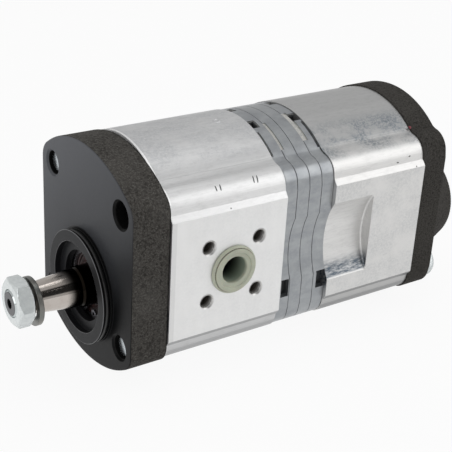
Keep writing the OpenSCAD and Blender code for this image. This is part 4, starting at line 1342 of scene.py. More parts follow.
@dataclass
class ShaftEnd:
    """Washer and nut on the shaft's thread, with the shaft and its key."""

    nut_x: float = -34.0
    nut_t: float = 7.0
    nut_w: float = 19.0
    nut_face_inset: float = 0.45
    nut_bore_r: float = 6.12
    nut_face_w: float = 0.9
    nut_slope: float = 1.75
    thread_gap: float = 0.25
    thread_r: float = 6.02
    thread_depth: float = 0.28
    pitch: float = 1.5
    washer_x: tuple[float, float] = (-26.1, -23.5)
    washer_r: tuple[float, float] = (7.2, 10.6)
    washer_z: float = -1.18
    washer_edge: float = 0.35
    split: float = -72.0
    split_half: float = 7.5

    def nut(self) -> bpy.types.Object:
        """Hexagon nut: radius min(hexagon, chamfer cone) round each row, closed by its threaded bore.

        The thread's radius is R + d |2 frac(h / p - a / 2 pi) - 1|, which climbs one pitch each turn.
        """
        a, face = full_turn(240), self.nut_w / 2 - self.nut_face_inset
        x = np.array([0.0, 0.12, 0.3, 0.6, 0.9, 1.2, 1.5, 2.0])
        x = np.concatenate([x, self.nut_t - x[::-1]])
        cone = face + np.minimum(x, self.nut_t - x) * self.nut_slope
        outside = [
            circle_row(a, np.minimum(hexagon(a, self.nut_w), c), self.nut_x + h) for h, c in zip(x, cone)
        ]
        bore = []
        for h in np.linspace(0, self.nut_t - 2 * self.thread_gap, 60):
            thread = self.thread_r + self.thread_depth * thread_wave(h, self.pitch, a)
            bore.append(circle_row(a, thread, self.nut_x + self.thread_gap + h))
        ends, radii = (self.nut_x, self.nut_x + self.nut_t), (self.nut_bore_r, face - self.nut_face_w)
        front, back = ([circle_row(a, r, end) for r in radii] for end in ends)
        shape = Surface()
        shape.grid(np.array([*bore[::-1], *front, *outside, *back[::-1], bore[-1]]))
        return shape.build("shaft_hexagon_nut", 28)

    def washer(self) -> bpy.types.Object:
        """Spring washer: a rounded square section on a nearly closed, slightly helical path."""
        (inner, outer), (x0, x1) = self.washer_r, self.washer_x
        mid, half_w, half_t = (inner + outer) / 2, (outer - inner) / 2, (x1 - x0) / 2 - 0.22
        a = np.radians(np.linspace(self.split + self.split_half, self.split + 360 - self.split_half, 97))
        square = [(half_w, -half_t), (half_w, half_t), (-half_w, half_t), (-half_w, -half_t)]
        section = rounded([(0, -half_t), *square, (0, -half_t)], self.washer_edge)[:-1]
        lift = np.linspace(-0.2, 0.2, len(a))[:, None]
        x = (x0 + x1) / 2 + section[None, :, 1] + lift
        r, a = (mid + section[:, 0])[None], a[:, None]
        shape = Surface()
        shape.tube(np.stack([x, r * np.cos(a), r * np.sin(a) + self.washer_z], -1))
        return shape.build("spring_washer", 40)

    def build(self) -> None:
        """Makes and places the pieces at the shaft's end."""
        Fitting(SHAFT, Finish.ZINC, "zinc_steel", ("shaft_nut",)).apply(self.nut())
        Fitting(SHAFT, Finish.WASHER, "spring_steel", ("lock_washer",)).apply(self.washer())
        dress(Finish.SHAFT, "drive_shaft")
        dress(Finish.KEY, "woodruff_key")


@dataclass(frozen=True)
class RimCut:
    """A cut in a plate's rim, from start to end behind the plate's front.

    It spans angles from the top, towards -Y, or is a notch low in the -Y side if it has no span.
    """

    start: float
    end: float
    depth: float
    span: tuple[float, float] | None = None


@dataclass
class PlateStack:
    """The four die-cast plates between the two gear sections."""

    edge: float = 0.32
    waist_r: float = 39.0
    waist_depth: float = 3.0
    bore_r: float = 12.1
    bolt_hole_r: float = 5.25
    pocket_depth: float = 3.4
    pocket_l: float = 4.0
    pockets: tuple[tuple[float, float], ...] = ((10, 17), (-14, -7))
    gap_depth: float = 1.2
    notch_z: float = -18.0
    notch_half_h: float = 3.55

    def cuts(self, number: int) -> list[RimCut]:
        """The cuts in one plate's rim: pockets, rebates and gaps beside the bodies."""
        t, deep, before, after = SIZES.plate_t, self.pocket_depth, -1.0, SIZES.plate_t + 1.0
        if number == 1:
            pockets = [RimCut(before, self.pocket_l, deep, span) for span in self.pockets]
            return [*pockets, RimCut(before, 1.3, self.gap_depth, (21, 39)), RimCut(2.0, 6.0, deep)]
        if number == 2:
            return [RimCut(before, 1.45, 0.5, (14, 36))]
        if number == 4:
            pockets = [RimCut(t - self.pocket_l, after, deep, span) for span in self.pockets]
            gap = RimCut(t - 1.2, after, self.gap_depth, (19, 39))
            return [RimCut(before, 2.6, 0.6, (8, 33)), *pockets, gap, RimCut(t - 4.8, after, deep)]
        return []

    def loop(self) -> tuple[Array, Array, Array]:
        """The plates' outline about the section's middle.

        The side follows the waist's arc, whose centre lies outside the plate. Angles are taken about
        the crown's centre, positive towards -Y, and columns are doubled where a cut ends.

        Returns:
            The outline, each point's angle from the top of its crown, and whether it lies at the top.
        """
        s = SIZES
        side = s.body_half_w - s.plate_inset
        far = side - self.waist_depth + self.waist_r
        reach = math.degrees(math.asin(math.sqrt(self.waist_r**2 - (far - side) ** 2) / self.waist_r))
        waist = arc((far, 0), self.waist_r, 180, 180 - reach, 16)
        quarter = np.concatenate([waist, [(side, s.fixing - 2)], shoulder_and_crown(s.plate_inset, 36)])
        loop = refined(from_quarter(quarter), 1.0)
        centre, radius = s.crown_top - s.crown_r, s.crown_r - s.plate_inset
        angle = np.degrees(np.arctan2(-loop[:, 0], loop[:, 1] - centre))
        top = loop[:, 1] > s.crown_edge_z
        marks = {m for number in range(1, 5) for cut in self.cuts(number) for m in cut.span or ()}
        extra = np.array([m + d for m in marks for d in (-0.15, 0.15)])
        extra = np.unique(extra[np.abs(extra) < 39.3])
        around = np.radians(extra)
        added = np.stack([-radius * np.sin(around), centre + radius * np.cos(around)], -1)
        angles = np.concatenate([angle[top], extra])
        order = np.argsort(angles)
        crown, angles = np.concatenate([loop[top], added])[order], angles[order]
        fresh = np.concatenate([[True], np.diff(angles) > 0.02])
        crown, angles = crown[fresh], angles[fresh]
        rest = loop[~top & ~(loop[:, 1] < -s.crown_edge_z)]
        left, right = rest[rest[:, 0] < 0], rest[rest[:, 0] > 0]
        left, right = left[np.argsort(-left[:, 1])], right[np.argsort(right[:, 1])]
        whole = np.concatenate([crown, left, -crown, right])
        no_angle = [np.full(len(part), 999.0) for part in (left, right)]
        at_top = np.arange(len(whole)) < len(crown)
        return whole, np.concatenate([angles, no_angle[0], angles, no_angle[1]]), at_top

    def insets(self, number: int, x: Array, loop: Array, angle: Array, top: Array) -> Array:
        """How far the rim stands in, at rows of x by points of the loop.

        It is the larger of the edge rounding and each cut's depth. A pocket is cut at both crowns, a
        shallow cut only at the top.

        Args:
            number: The plate's number from the front.
            x: Places behind the plate's front.
            loop: The outline.
            angle: Each point's angle from the top of its crown.
            top: Whether each point lies at the top.

        Returns:
            The insets.
        """
        near = np.minimum(x, SIZES.plate_t - x)
        arch = np.sqrt(np.maximum(self.edge**2 - (self.edge - near) ** 2, 0))
        inset = np.repeat(np.where(near < self.edge, self.edge - arch, 0)[:, None], len(loop), 1)
        for cut in self.cuts(number):
            along = (x > cut.start - 0.01) & (x < cut.end + 0.01)
            if cut.span:
                around = (angle >= cut.span[0]) & (angle <= cut.span[1]) & (top | (cut.depth > 2))
            else:
                around = (loop[:, 0] < 0) & (np.abs(loop[:, 1] - self.notch_z) < self.notch_half_h)
            inset = np.maximum(inset, np.where(along[:, None] & around[None], cut.depth, 0))
        return inset

    def plate(self, number: int) -> bpy.types.Object:
        """One plate: its rim is the outline moved in by the edge rounding and the cuts."""
        s = SIZES
        x0, x1 = s.plates_x + (number - 1) * s.plate_t, s.plates_x + (number - 1) * s.plate_t + s.plate_t
        loop, angle, top = self.loop()
        rise = edge_round(self.edge)[:, 1]
        places = [0.0, s.plate_t, *rise, *(s.plate_t - rise)]
        ends = [v for cut in self.cuts(number) for v in (cut.start, cut.end)]
        places += [v + d for v in ends for d in (-0.04, 0.04)]
        x = np.array(sorted({round(min(max(float(v), 0.0), s.plate_t), 4) for v in places}))
        inset = self.insets(number, x, loop, angle, top)
        flat = loop[None] - inset[:, :, None] * mitres(loop)[None] + np.array([0, s.mid_z])
        grid = np.concatenate([np.broadcast_to((x0 + x)[:, None, None], (*flat.shape[:2], 1)), flat], -1)
        shape = Surface()
        shape.grid(grid)
        holes = [ring(DRIVE_AXIS, self.bore_r, 72)]
        holes += [ring(p, self.bolt_hole_r, 48) for p in s.bolts]
        holes += [ring(p, s.mount_hole_r, 48) for p in s.open_holes]
        shape.fill(grid[0, :, 1:], holes, x0)
        shape.fill(grid[-1, :, 1:], holes, x1)
        for hole in holes:
            shape.grid(np.array([np.insert(hole, 0, level, axis=1) for level in (x0, x1)]))
        return shape.build(f"die_cast_plate_{number}", 30)

    def build(self) -> None:
        """Makes and places the four plates."""
        for number in range(1, 5):
            fitting = Fitting(PUMP, Finish.PLATE, "plate_aluminium", (f"intermediate_plate_{number}",))
            fitting.apply(self.plate(number))


@dataclass
class RearCover:
    """Rear casting with its tapered boss, its sunk bolt seats and its port."""

    lip: float = 0.7
    front_edge: float = 0.4
    back_edge: float = 1.0
    base_r: float = 33.4
    top_r: float = 23.0
    top_edge: float = 2.5
    foot: float = 4.0
    port_chamfer: float = 0.6
    port_depth: float = 26.0
    seat_x: float = 160.0
    seat_r: float = 8.3
    seat_edge: float = 0.35

    @property
    def mouth_r(self) -> float:
        """Radius of the port's mouth."""
        return SIZES.pressure_port_r + self.port_chamfer

    def boss(self) -> Array:
        """The boss's profile as rows of (radius, x): port chamfer, flat top, round edge, flank and foot.

        The flank leans by atan((base - top) / height). The round edge and the foot are arcs that end
        square to it.
        """
        s = SIZES
        lean = math.atan2(self.base_r - self.top_r, s.boss_x - s.cover_back_x)
        foot_r = self.base_r + self.foot * (1 - math.sin(lean)) / math.cos(lean)
        edge_at = (self.top_r - self.top_edge, s.boss_x - self.top_edge)
        top = around(edge_at, self.top_edge, np.linspace(np.pi / 2, lean, 8))
        foot_at = (foot_r, s.cover_back_x + self.foot)
        low = around(foot_at, self.foot, np.linspace(np.pi + lean, 1.5 * np.pi, 9))
        flat = [(self.mouth_r, s.boss_x), (14.0, s.boss_x)]
        flank = top[-1] + (low[0] - top[-1]) * np.linspace(0, 1, 14)[1:-1, None]
        return np.concatenate([flat, top, flank, low])

    def height(self, flat: Array) -> Array:
        """X of the cover's back at rows of (y, z): the boss's profile, with the seats sunk level."""
        s, profile = SIZES, self.boss()
        rho = np.hypot(flat[:, 0], flat[:, 1] - s.boss_z)
        level = np.interp(rho, profile[:, 0], profile[:, 1])
        for place in s.bolts + s.open_holes:
            away = np.hypot(flat[:, 0] - place[0], flat[:, 1] - place[1])
            drop = np.clip(1 - (away - self.seat_r) / self.seat_edge, 0, 1)
            sunk = away < self.seat_r - 0.01
            level = np.where(sunk, self.seat_x, level - self.seat_edge * drop**2)
        return level

    def back_points(self, loop: Array) -> tuple[Array, list[tuple[int, int]]]:
        """Points of the back in Y and Z, and the edges that its triangles must keep.

        Args:
            loop: The flat back's outline.

        Returns:
            The outline, the seats' and holes' circles and the boss's rings, with the edges of the
            first three and of the port's ring.
        """
        s, profile = SIZES, self.boss()
        kept = [loop, ring((0, s.boss_z), self.mouth_r, 72)]
        for place in s.bolts + s.open_holes:
            kept += [ring(place, self.seat_r + d, 96) for d in (-0.05, 0.0, self.seat_edge)]
        kept += [ring(place, s.mount_hole_r, 64) for place in s.open_holes]
        radii = np.concatenate([profile[1:, 0], profile[-1, 0] + np.arange(1, 14) * 1.5])
        free = np.concatenate([ring((0, s.boss_z), r, int(12 + 4.2 * r)) for r in radii])
        clear = inside(free, loop * 0.985 + np.array([0, s.mid_z]) * 0.015)
        for place in s.bolts + s.open_holes:
            away = np.hypot(free[:, 0] - place[0], free[:, 1] - place[1])
            clear &= (np.abs(away - self.seat_r - 0.15) > 0.45) & (away > s.mount_hole_r + 0.5)
        return np.concatenate([*kept, free[clear]]), loop_edges(kept)

    def casting(self) -> bpy.types.Object:
        """Side walls with rounded edges, and a back whose height follows the boss and the seats."""
        s, shape = SIZES, Surface()
        side = [(s.body_half_w + self.lip, s.fixing - 2)]
        loop = refined(from_quarter(np.concatenate([side, shoulder_and_crown(-self.lip, 60)])), 1.0)
        rows = sweep_rows(loop, round_ended(s.cover_x, s.cover_back_x, self.front_edge, self.back_edge))
        shape.grid(rows)
        at, tris = triangulated(*self.back_points(rows[-1, :, 1:]))
        middle = at[tris].mean(1)
        keep = inside(middle, rows[-1, :, 1:])
        keep &= np.hypot(middle[:, 0], middle[:, 1] - s.boss_z) > self.mouth_r - 0.02
        for place in s.open_holes:
            keep &= np.hypot(middle[:, 0] - place[0], middle[:, 1] - place[1]) > s.mount_hole_r - 0.01
        shape.add(np.concatenate([self.height(at)[:, None], at], -1), tris[keep])
        bore_r, floor_x = s.pressure_port_r, s.boss_x - self.port_depth
        edge_x = s.boss_x - self.port_chamfer
        bore = np.array([(self.mouth_r, s.boss_x), (bore_r, edge_x), (bore_r, floor_x)])
        wall = lathe(bore, (0, s.boss_z), 72)
        shape.grid(wall)
        shape.fan(wall[-1], (floor_x, 0, s.boss_z))
        hole = np.array([(s.mount_hole_r, self.seat_x), (s.mount_hole_r, s.cover_x)])
        holes = [lathe(hole, place, 64) for place in s.open_holes]
        for part in holes:
            shape.grid(part)
        shape.fill(rows[0, :, 1:], [part[-1, :, 1:] for part in holes], s.cover_x)
        return shape.build("cover_casting", 38)

    def build(self) -> None:
        """Makes and places the cover."""
        Fitting(PUMP, Finish.COVER, "cover_cast", ("rear_cover",)).apply(self.casting())


@dataclass
class TransportPlug:
    """Moulded plug that closes a port: a cup with a bevelled flange and a fine, ticked notch.

    The port is named as in its CAD node, and lies at a place with a direction out, along X or Y.
    """

    port: str
    radius: float
    place: tuple[float, float, float]
    out: tuple[int, int, int]
    flange_w: float = 3.3
    height: float = 2.0
    spigot: float = 12.0
    wall: float = 1.45
    ticks: int = 56
    edge: float = 0.45
    bevel: float = 1.1
    notch: float = 0.85

    def profile(self) -> Array:
        """(radius, height above the port's face) from the spigot's end over the flange into the cup.

        A fine notch runs round the bevel, just below the face.
        """
        r, h, rim = self.radius, self.height, self.radius + self.flange_w
        low = self.edge * h
        corners = [
            (0.0, -self.spigot),
            (r - 0.7, -self.spigot),
            (r - 0.08, -self.spigot + 1.5),
            (r - 0.08, 0.02),
            (rim, 0.02),
            (rim, low),
            (rim - self.notch + 0.2, low + self.notch - 0.2),
            (rim - self.notch - 0.26, low + self.notch - 0.26),
            (rim - self.notch - 0.14, low + self.notch + 0.14),
            (rim - self.bevel, h),
            (r + 0.6, h),
            (r + 0.35, 0.72 * h),
            (r - self.wall + 0.3, 0.68 * h),
            (r - self.wall - 0.05, 0.50 * h),
            (r - self.wall - 0.75, self.wall - self.spigot),
            (0.0, self.wall - self.spigot),
        ]
        return rounded(corners, 0.22)

    def grid(self, count: int = 280) -> Array:
        """The turned surface as (radius, height, angle) rows, with ticks that bridge the notch.

        A tick moves the notch's floor outwards by 0.3 cos^2 of the angle times half their number.
        """
        a, profile = full_turn(count), self.profile()
        floor_r = self.radius + self.flange_w - self.notch - 0.24
        floor_h = self.edge * self.height + self.notch - 0.24
        floor = np.linalg.norm(profile - np.array([floor_r, floor_h]), axis=1) < 0.14
        lift = floor[:, None] * 0.3 * np.cos(a * self.ticks / 2)[None] ** 2
        turned = np.broadcast_to(a, lift.shape)
        return np.stack([profile[:, :1] + lift, profile[:, 1:] + lift, turned], -1)

    def build(self) -> None:
        """Makes and places the plug."""
        r, h, a = np.moveaxis(self.grid(), -1, 0)
        x, y, z = self.place
        across, up = r * np.cos(a), r * np.sin(a)
        if self.out[0]:
            parts = [x + self.out[0] * h, y + across, z + up]
        else:
            parts = [x + across, y + self.out[1] * h, z + up]
        shape = Surface()
        shape.grid(np.stack(parts, -1))
        piece = shape.build(f"{self.port}_cap", 45)
        Fitting(PUMP, Finish.PLUG, "plug_plastic", (f"{self.port}_plug",)).apply(piece)


@dataclass
class ThroughBolts:
    """The two socket head screws that hold the stack together."""

    radius: float = 5.0
    head_r: float = 8.0
    head_x: tuple[float, float] = (160.0, 170.0)
    end_x: float = 2.2
    socket_w: float = 8.0
    socket_depth: float = 5.0
    knurls: int = 48
    knurl_depth: float = 0.16

    def bolt(self, place: Sequence[float], shape: Surface) -> None:
        """Adds one bolt: circles from its end to its knurled head, then the hexagon socket's rows."""
        a, (x0, x1) = full_turn(192), self.head_x
        mouth = self.socket_w / 2 / math.cos(math.pi / 6) + 0.45
        body = [
            (0.0, self.end_x),
            (self.radius - 1.2, self.end_x),
            (self.radius - 0.7, self.end_x + 0.1),
            (self.radius - 0.02, self.end_x + 0.8),
            (self.radius - 0.02, x0),
            (self.head_r - 0.3, x0),
            (self.head_r - 0.05, x0 + 0.3),
            (self.head_r - 0.05, x0 + 0.9),
            (self.head_r, x0 + 1.2),
            (self.head_r, x1 - 1.6),
            (self.head_r - 0.05, x1 - 1.2),
            (self.head_r - 0.5, x1 - 0.3),
            (self.head_r - 1.0, x1),
            (mouth, x1),
        ]
        groove = self.knurl_depth * np.cos(self.knurls * a) ** 2
        rows = [circle_row(a, r - groove * (r == self.head_r), x) for r, x in body]
        sunk = (x1 - 0.35, x1 - self.socket_depth)
        rows += [circle_row(a, hexagon(a, self.socket_w), x) for x in sunk]
        rows.append(circle_row(a, 0.0, x1 - self.socket_depth - 0.8))
        shape.grid(np.array(rows) + np.array([0, *place]))

    def build(self) -> None:
        """Makes and places both bolts."""
        shape = Surface()
        for place in SIZES.bolts:
            self.bolt(place, shape)
        bolts = shape.build("socket_head_bolts", 35)
        Fitting(PUMP, Finish.BOLT, "zinc_steel", ("through_bolts",)).apply(bolts)


@dataclass
class PortThreads:
    """Helical threads in the M6 holes round the side ports."""

    radius: float = 2.97
    depth: float = 0.34
    pitch: float = 1.0
    length: float = 11.0
    drill_tip: float = 1.2
    pressure_holes: float = 24.75
    suction_holes: float = 28.3

    def add(self, x: float, z: float, side: int, shape: Surface) -> None:
        """Adds one hole: its chamfered mouth, its thread of radius R - d times the wave and its tip.

        Args:
            x: The hole's place along X.
            z: Its height.
            side: -1 for the -Y side and 1 for the +Y side.
            shape: The surface that it is added to.
        """
        a = np.linspace(0, 2 * np.pi, 37)
        h = np.linspace(0.35, self.length, 90)[:, None]
        thread = self.radius - self.depth * thread_wave(h, self.pitch, a[None])
        cone = np.array([(0.49, 0.0), (0.02, 0.46), (-0.1, 0.62)])
        grids = []
        for r, down in ((thread, h), (self.radius + cone[:, :1], cone[:, 1:])):
            y = np.repeat(side * (SIZES.pad_y - down), len(a), 1)
            grids.append(np.stack([x + r * np.cos(a), y, z + r * np.sin(a)], -1))
            shape.grid(grids[-1], wrap=False)
        tip_y = side * (SIZES.pad_y - self.length) - side * self.drill_tip
        shape.fan(grids[0][-1, :-1], (x, tip_y, z))

    def build(self) -> None:
        """Makes the threads of all three side ports."""
        s, shape = SIZES, Surface()
        ports = (
            (s.front_port_x, self.pressure_holes, -1),
            (s.front_port_x, self.suction_holes, 1),
            (s.rear_port_x, self.suction_holes, 1),
        )
        for port_x, apart, side in ports:
            for i in (-0.5, 0.5):
                for j in (-0.5, 0.5):
                    self.add(port_x + i * apart, s.mid_z + j * apart, side, shape)
        Fitting(PUMP, Finish.THREAD, "body_aluminium").apply(shape.build("port_hole_threads", 60))


@dataclass
class FitterMarks:
    """Small marks that a fitter leaves: scribed strokes, a punched dimple and a dab of paint.

    A stroke runs from one (x, z) on the bodies' -Y side to another.
    """

    stroke_w: float = 0.55
    strokes: tuple[tuple[float, float, float, float], ...] = (
        (39.8, 51.9, 39.9, 50.1),
        (42.1, 52.0, 41.8, 50.0),
        (58.6, 52.4, 58.1, 50.1),
        (60.5, 52.3, 59.8, 49.9),
        (44.9, 43.1, 45.0, 42.6),
        (134.9, 45.6, 136.2, 45.4),
        (142.1, 47.0, 143.2, 47.3),
        (145.8, 42.7, 145.8, 42.1),
    )
    punch: tuple[float, float] = (61.1, -3.2)
    dab_at: tuple[float, float, float] = (150.6, -28.35, 56.15)
    dab_out: tuple[float, float, float] = (0, -0.66, 0.75)
    dab_r: float = 0.75
    dab_h: float = 0.3

    def surface_point(self, x: float, z: float) -> tuple[Array, Array]:
        """The point of the bodies' -Y side at height z, and the outward direction there."""
        s = SIZES
        pad = [(s.pad_y, s.pad_half_h), (s.body_half_w - 0.2, s.pad_half_h + 2.5)]
        quarter = np.concatenate([pad, shoulder_and_crown(0, 60)])
        y, y_up = (-float(np.interp(v, quarter[:, 1] + s.mid_z, quarter[:, 0])) for v in (z, z + 0.05))
        normal = np.array([0, -0.05, y_up - y])
        return np.array([x, y, z]), normal / np.linalg.norm(normal)

    def stroke(self, ends: Sequence[float], shape: Surface) -> None:
        """A narrow strip laid on the body. Its width falls to both ends as sqrt(1 - (2t - 1)^4)."""
        t = np.linspace(0, 1, 9)
        start, end = np.reshape(ends, (2, 2))
        found = [self.surface_point(*p) for p in start + (end - start) * t[:, None]]
        centre, normal = np.array([p for p, _ in found]), np.array([n for _, n in found])
        across = np.cross(np.gradient(centre, axis=0), normal)
        across /= np.linalg.norm(across, axis=1)[:, None]
        half = across * self.stroke_w / 2 * np.sqrt(np.clip(1 - (2 * t - 1) ** 4, 0.02, 1))[:, None]
        lift = normal * 0.03
        near, far = centre - half, centre + half
        shape.tube(np.stack([near - lift, near + lift, far + lift, far - lift], 1))

    def dimple(self) -> bpy.types.Object:
        """A centre punch mark on the crown: the burr's height is 0.4 e^(-((r - 1.3) / 0.45)^2) mm."""
        s, (x, y) = SIZES, self.punch
        r, a = np.linspace(0.02, 2.6, 30)[:, None], full_turn(40)[None]
        across = y + r * np.sin(a)
        burr = 0.01 + 0.4 * np.exp(-(((r - 1.3) / 0.45) ** 2)) - 0.02 * (r > 2.55)
        up = s.mid_z + s.crown_at[1] + np.sqrt((s.crown_r + burr) ** 2 - across**2)
        grid = np.stack([x + r * np.cos(a), across, up], -1)
        shape = Surface()
        shape.grid(grid)
        shape.fan(grid[0], grid[0].mean(0))
        return shape.build("punched_dimple", 60)

    def dab(self) -> bpy.types.Object:
        """A drop of paint: a quarter ellipse turned about its outward axis, with a slightly wavy rim."""
        t, a = np.linspace(0, np.pi / 2, 6)[:, None], full_turn(20)
        out = np.array(self.dab_out)
        side = np.array([0, out[2], -out[1]])
        r = (self.dab_r * np.sin(t) * (1 + 0.2 * np.sin(3 * a + 1)))[..., None]
        height = (self.dab_h * np.cos(t))[..., None]
        a = a[None, :, None]
        grid = np.array(self.dab_at) + out * height + np.array([1, 0, 0]) * r * np.cos(a)
        grid = grid + side * r * np.sin(a)
        shape = Surface()
        shape.grid(grid)
        shape.fan(grid[-1], grid[-1].mean(0) - out * 0.2)
        return shape.build("paint_dab", 60)

    def build(self) -> None:
        """Makes and places the marks."""
        shape = Surface()
        for ends in self.strokes:
            self.stroke(ends, shape)
        Fitting(PUMP, Finish.SCRIBE, "body_aluminium").apply(shape.build("scribed_strokes", 60))
        Fitting(PUMP, Finish.FRONT_BODY, "body_aluminium").apply(self.dimple())
        Fitting(PUMP, Finish.PAINT, "body_aluminium").apply(self.dab())


@dataclass
class GearSections:
    """The two extruded bodies with the gears, blocks, bushes and seals that run in them."""

    sink: float = 0.35

    def valleys(self, name: str, start: float, end: float) -> bpy.types.Object:
        """Round bottoms of a body's four valleys, carried along X, each closed underneath.

        Args:
            name: The piece's name.
            start: Where it begins along X.
            end: Where it ends.

        Returns:
            The piece.
        """
        s, shape = SIZES, Surface()
        dip, low, high = valley(0.0)
        in_crown = arc(s.crown_at, s.crown_r - self.sink, high, high, 1)[:1]
        in_shoulder = arc(s.shoulder_at, s.shoulder_r - self.sink, low, low, 1)[:1]
        under = [(s.crown_half_w + 0.5, s.crown_edge_z - 1.1)]
        section = np.concatenate([dip, in_crown, under, in_shoulder])
        for side in (-1, 1):
            for way in (-1, 1):
                flat = section * np.array([side, way]) + np.array([0, s.mid_z])
                flat = flat if side * way > 0 else flat[::-1]
                along = (start, (start + end) / 2, end)
                shape.grid(np.array([np.insert(flat, 0, x, axis=1) for x in along]))
                shape.fill(flat, [], start)
                shape.fill(flat, [], end)
        return shape.build(name, 40)

    def build(self) -> None:
        """Makes the round valleys and dresses the carried-over nodes."""
        s = SIZES
        front = self.valleys("front_body_valleys", s.flange_t + 0.05, s.plates_x)
        Fitting(PUMP, Finish.FRONT_BODY, "body_aluminium").apply(front)
        rear = self.valleys("rear_body_valleys", s.rear_x, s.cover_x)
        Fitting(PUMP, Finish.REAR_BODY, "body_aluminium").apply(rear)
        dress(Finish.FRONT_BODY, "front_body")
        dress(Finish.REAR_BODY, "rear_body")
        dress(Finish.GEAR, "front_driven_gear", "rear_drive_gear", "rear_driven_gear")
        dress(Finish.GEAR, "shaft_coupler", "dowel_pins")
        dress(Finish.BLOCK, "front_block_a", "front_block_b", "rear_block_a", "rear_block_b")
        dress(Finish.BUSH, "front_bushes", "rear_bushes")
        dress(Finish.BROWN_RUBBER, "front_pressure_seals", "rear_pressure_seals")
        dress(Finish.BLACK_RUBBER, "flange_seal", "front_plate_seal", "rear_plate_seal", "cover_seal")


@dataclass(frozen=True)
class Lamp:
    """One soft area lamp that looks at the pump."""

    name: str
    place: tuple[float, float, float]
    size: float
    power: float

    def build(self, target: Vector) -> None:
        """Adds the lamp, turned towards the target."""
        light = bpy.data.lights.new(self.name, "AREA")
        light.shape = "SQUARE"
        light.size = self.size
        light.energy = self.power
        lamp = bpy.data.objects.new(self.name, light)
        lamp.location = self.place
        lamp.rotation_euler = (target - Vector(self.place)).to_track_quat("-Z", "Y").to_euler()
        bpy.context.scene.collection.objects.link(lamp)


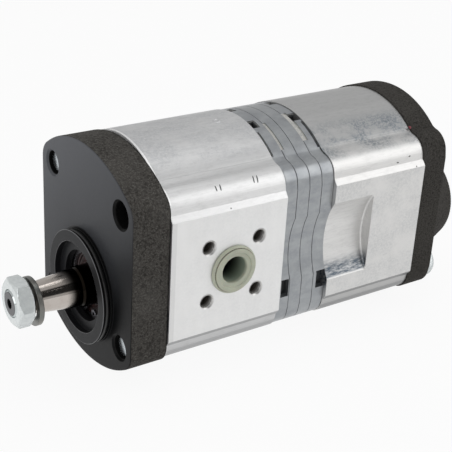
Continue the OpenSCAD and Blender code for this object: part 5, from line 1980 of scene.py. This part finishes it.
@dataclass
class Studio:
    """Camera, floor, lamps and surroundings."""

    lens: float = 87.51
    camera_at: tuple[float, float, float] = (-0.18855, -0.36783, 0.22738)
    camera_right: tuple[float, float, float] = (0.82977, -0.55558, 0.05294)
    camera_back: tuple[float, float, float] = (-0.52069, -0.73652, 0.43176)
    target: tuple[float, float, float] = (0.08, 0.0, 0.015)
    floor_z: float = -36.02
    floor_half: float = 9000.0
    floor_tone: Colour = (0.85, 0.85, 0.85)
    floor_glow: float = 0.92
    tent: tuple[tuple[float, float], ...] = ((0.0, 0.52), (0.25, 0.62), (0.55, 0.68), (1.0, 0.56))
    shade_at: tuple[float, float, float] = (0.08, -0.79, 0.608)
    shade_edge: tuple[float, float] = (0.885, 0.94)
    shade_share: float = 0.95
    lamps: tuple[Lamp, ...] = (
        Lamp("key", (0.70, -0.58, 0.52), 0.85, 2.8),
        Lamp("top", (0.30, 0.06, 0.85), 0.32, 0.45),
        Lamp("side", (-0.75, -0.10, 0.30), 0.5, 1.0),
    )

    def camera(self) -> None:
        """Places the camera as it stood for the photograph."""
        data = bpy.data.cameras.new("camera")
        data.lens = self.lens
        data.sensor_width = 36.0
        data.clip_start, data.clip_end = 0.01, 20.0
        camera = bpy.data.objects.new("camera", data)
        right, back = Vector(self.camera_right).normalized(), Vector(self.camera_back).normalized()
        turn = Matrix((right, back.cross(right), back)).transposed().to_4x4()
        camera.matrix_world = Matrix.Translation(self.camera_at) @ turn
        bpy.context.scene.collection.objects.link(camera)
        bpy.context.scene.camera = camera

    def floor(self) -> None:
        """A wide pale floor whose shadow stays soft and light."""
        shape = Surface()
        span = np.linspace(-self.floor_half, self.floor_half, 3)
        x, y = np.meshgrid(span, span, indexing="ij")
        shape.grid(np.stack([x, y, np.full_like(x, self.floor_z)], -1), wrap=False)
        floor = shape.build("floor")
        g = Graph("pale_floor")
        paths = g.node("ShaderNodeLightPath")
        seen = g.most(paths.outputs["Is Camera Ray"], paths.outputs["Is Glossy Ray"])
        seen = g.most(seen, paths.outputs["Is Transmission Ray"])
        matte = g.node("ShaderNodeBsdfDiffuse")
        g.link(self.floor_tone, matte.inputs["Color"])
        glow = g.node("ShaderNodeEmission")
        g.link(WHITE, glow.inputs["Color"])
        glow.inputs["Strength"].default_value = 1.0
        both = g.node("ShaderNodeMixShader")
        g.link(g.times(seen, self.floor_glow), both.inputs[0])
        g.link(matte.outputs[0], both.inputs[1])
        g.link(glow.outputs[0], both.inputs[2])
        g.link(both.outputs[0], g.output.inputs["Surface"])
        floor.data.materials.append(g.material)

    def surroundings(self) -> None:
        """White for the camera, and for all else a soft pale tent with a dark side by the camera.

        The dark side's share is a smooth step of the cosine between a direction and its middle.
        """
        world = bpy.data.worlds.new("tent")
        bpy.context.scene.world = world
        world.use_nodes = True
        g = Nodes(world.node_tree)
        direction = g.node("ShaderNodeTexCoord").outputs["Generated"]
        tent = g.ramp(g.axes(direction)[2], self.tent)
        toward = g.node("ShaderNodeVectorMath", operation="DOT_PRODUCT")
        g.link(direction, toward.inputs[0])
        g.link(self.shade_at, toward.inputs[1])
        shade = g.step(toward.outputs["Value"], *self.shade_edge, self.shade_share)
        paths = g.node("ShaderNodeLightPath")
        seen = g.most(paths.outputs["Is Camera Ray"], paths.outputs["Is Transmission Ray"])
        sky = g.node("ShaderNodeBackground")
        g.link(g.mix(seen, g.mix(shade, tent, BLACK), WHITE), sky.inputs["Color"])
        sky.inputs["Strength"].default_value = 1.0
        out = g.node("ShaderNodeOutputWorld")
        g.link(sky.outputs[0], out.inputs["Surface"])

    def build(self) -> None:
        """Sets up the whole studio."""
        bpy.context.scene.view_settings.view_transform = "Standard"
        self.camera()
        self.floor()
        self.surroundings()
        for lamp in self.lamps:
            lamp.build(Vector(self.target))
        LOG.info("studio: camera, floor and %d lamps", len(self.lamps))


def plugs() -> list[TransportPlug]:
    """The four ports' plugs."""
    s = SIZES
    front, rear = s.front_port_x, s.rear_port_x
    return [
        TransportPlug("front_pressure", s.pressure_port_r, (front, -s.pad_y, s.mid_z), (0, -1, 0)),
        TransportPlug("front_suction", s.suction_port_r, (front, s.pad_y, s.mid_z), (0, 1, 0)),
        TransportPlug("rear_suction", s.suction_port_r, (rear, s.pad_y, s.mid_z), (0, 1, 0)),
        TransportPlug("rear_pressure", s.pressure_port_r, (s.boss_x, 0, s.boss_z), (1, 0, 0)),
    ]


def corners(bounds: tuple[Vector, Vector]) -> list[list[float]]:
    """A box's two corners as plain lists."""
    return [[float(v) for v in corner] for corner in bounds]


def main() -> None:
    """Builds the studio and every sub-assembly in order."""
    logging.basicConfig(level=logging.INFO, format="%(name)s: %(message)s")
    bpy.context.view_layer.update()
    Studio().build()
    MountingFlange().build()
    ShaftEnd().build()
    GearSections().build()
    PlateStack().build()
    RearCover().build()
    for plug in plugs():
        plug.build()
    ThroughBolts().build()
    PortThreads().build()
    FitterMarks().build()


if __name__ == "__main__":
    main()
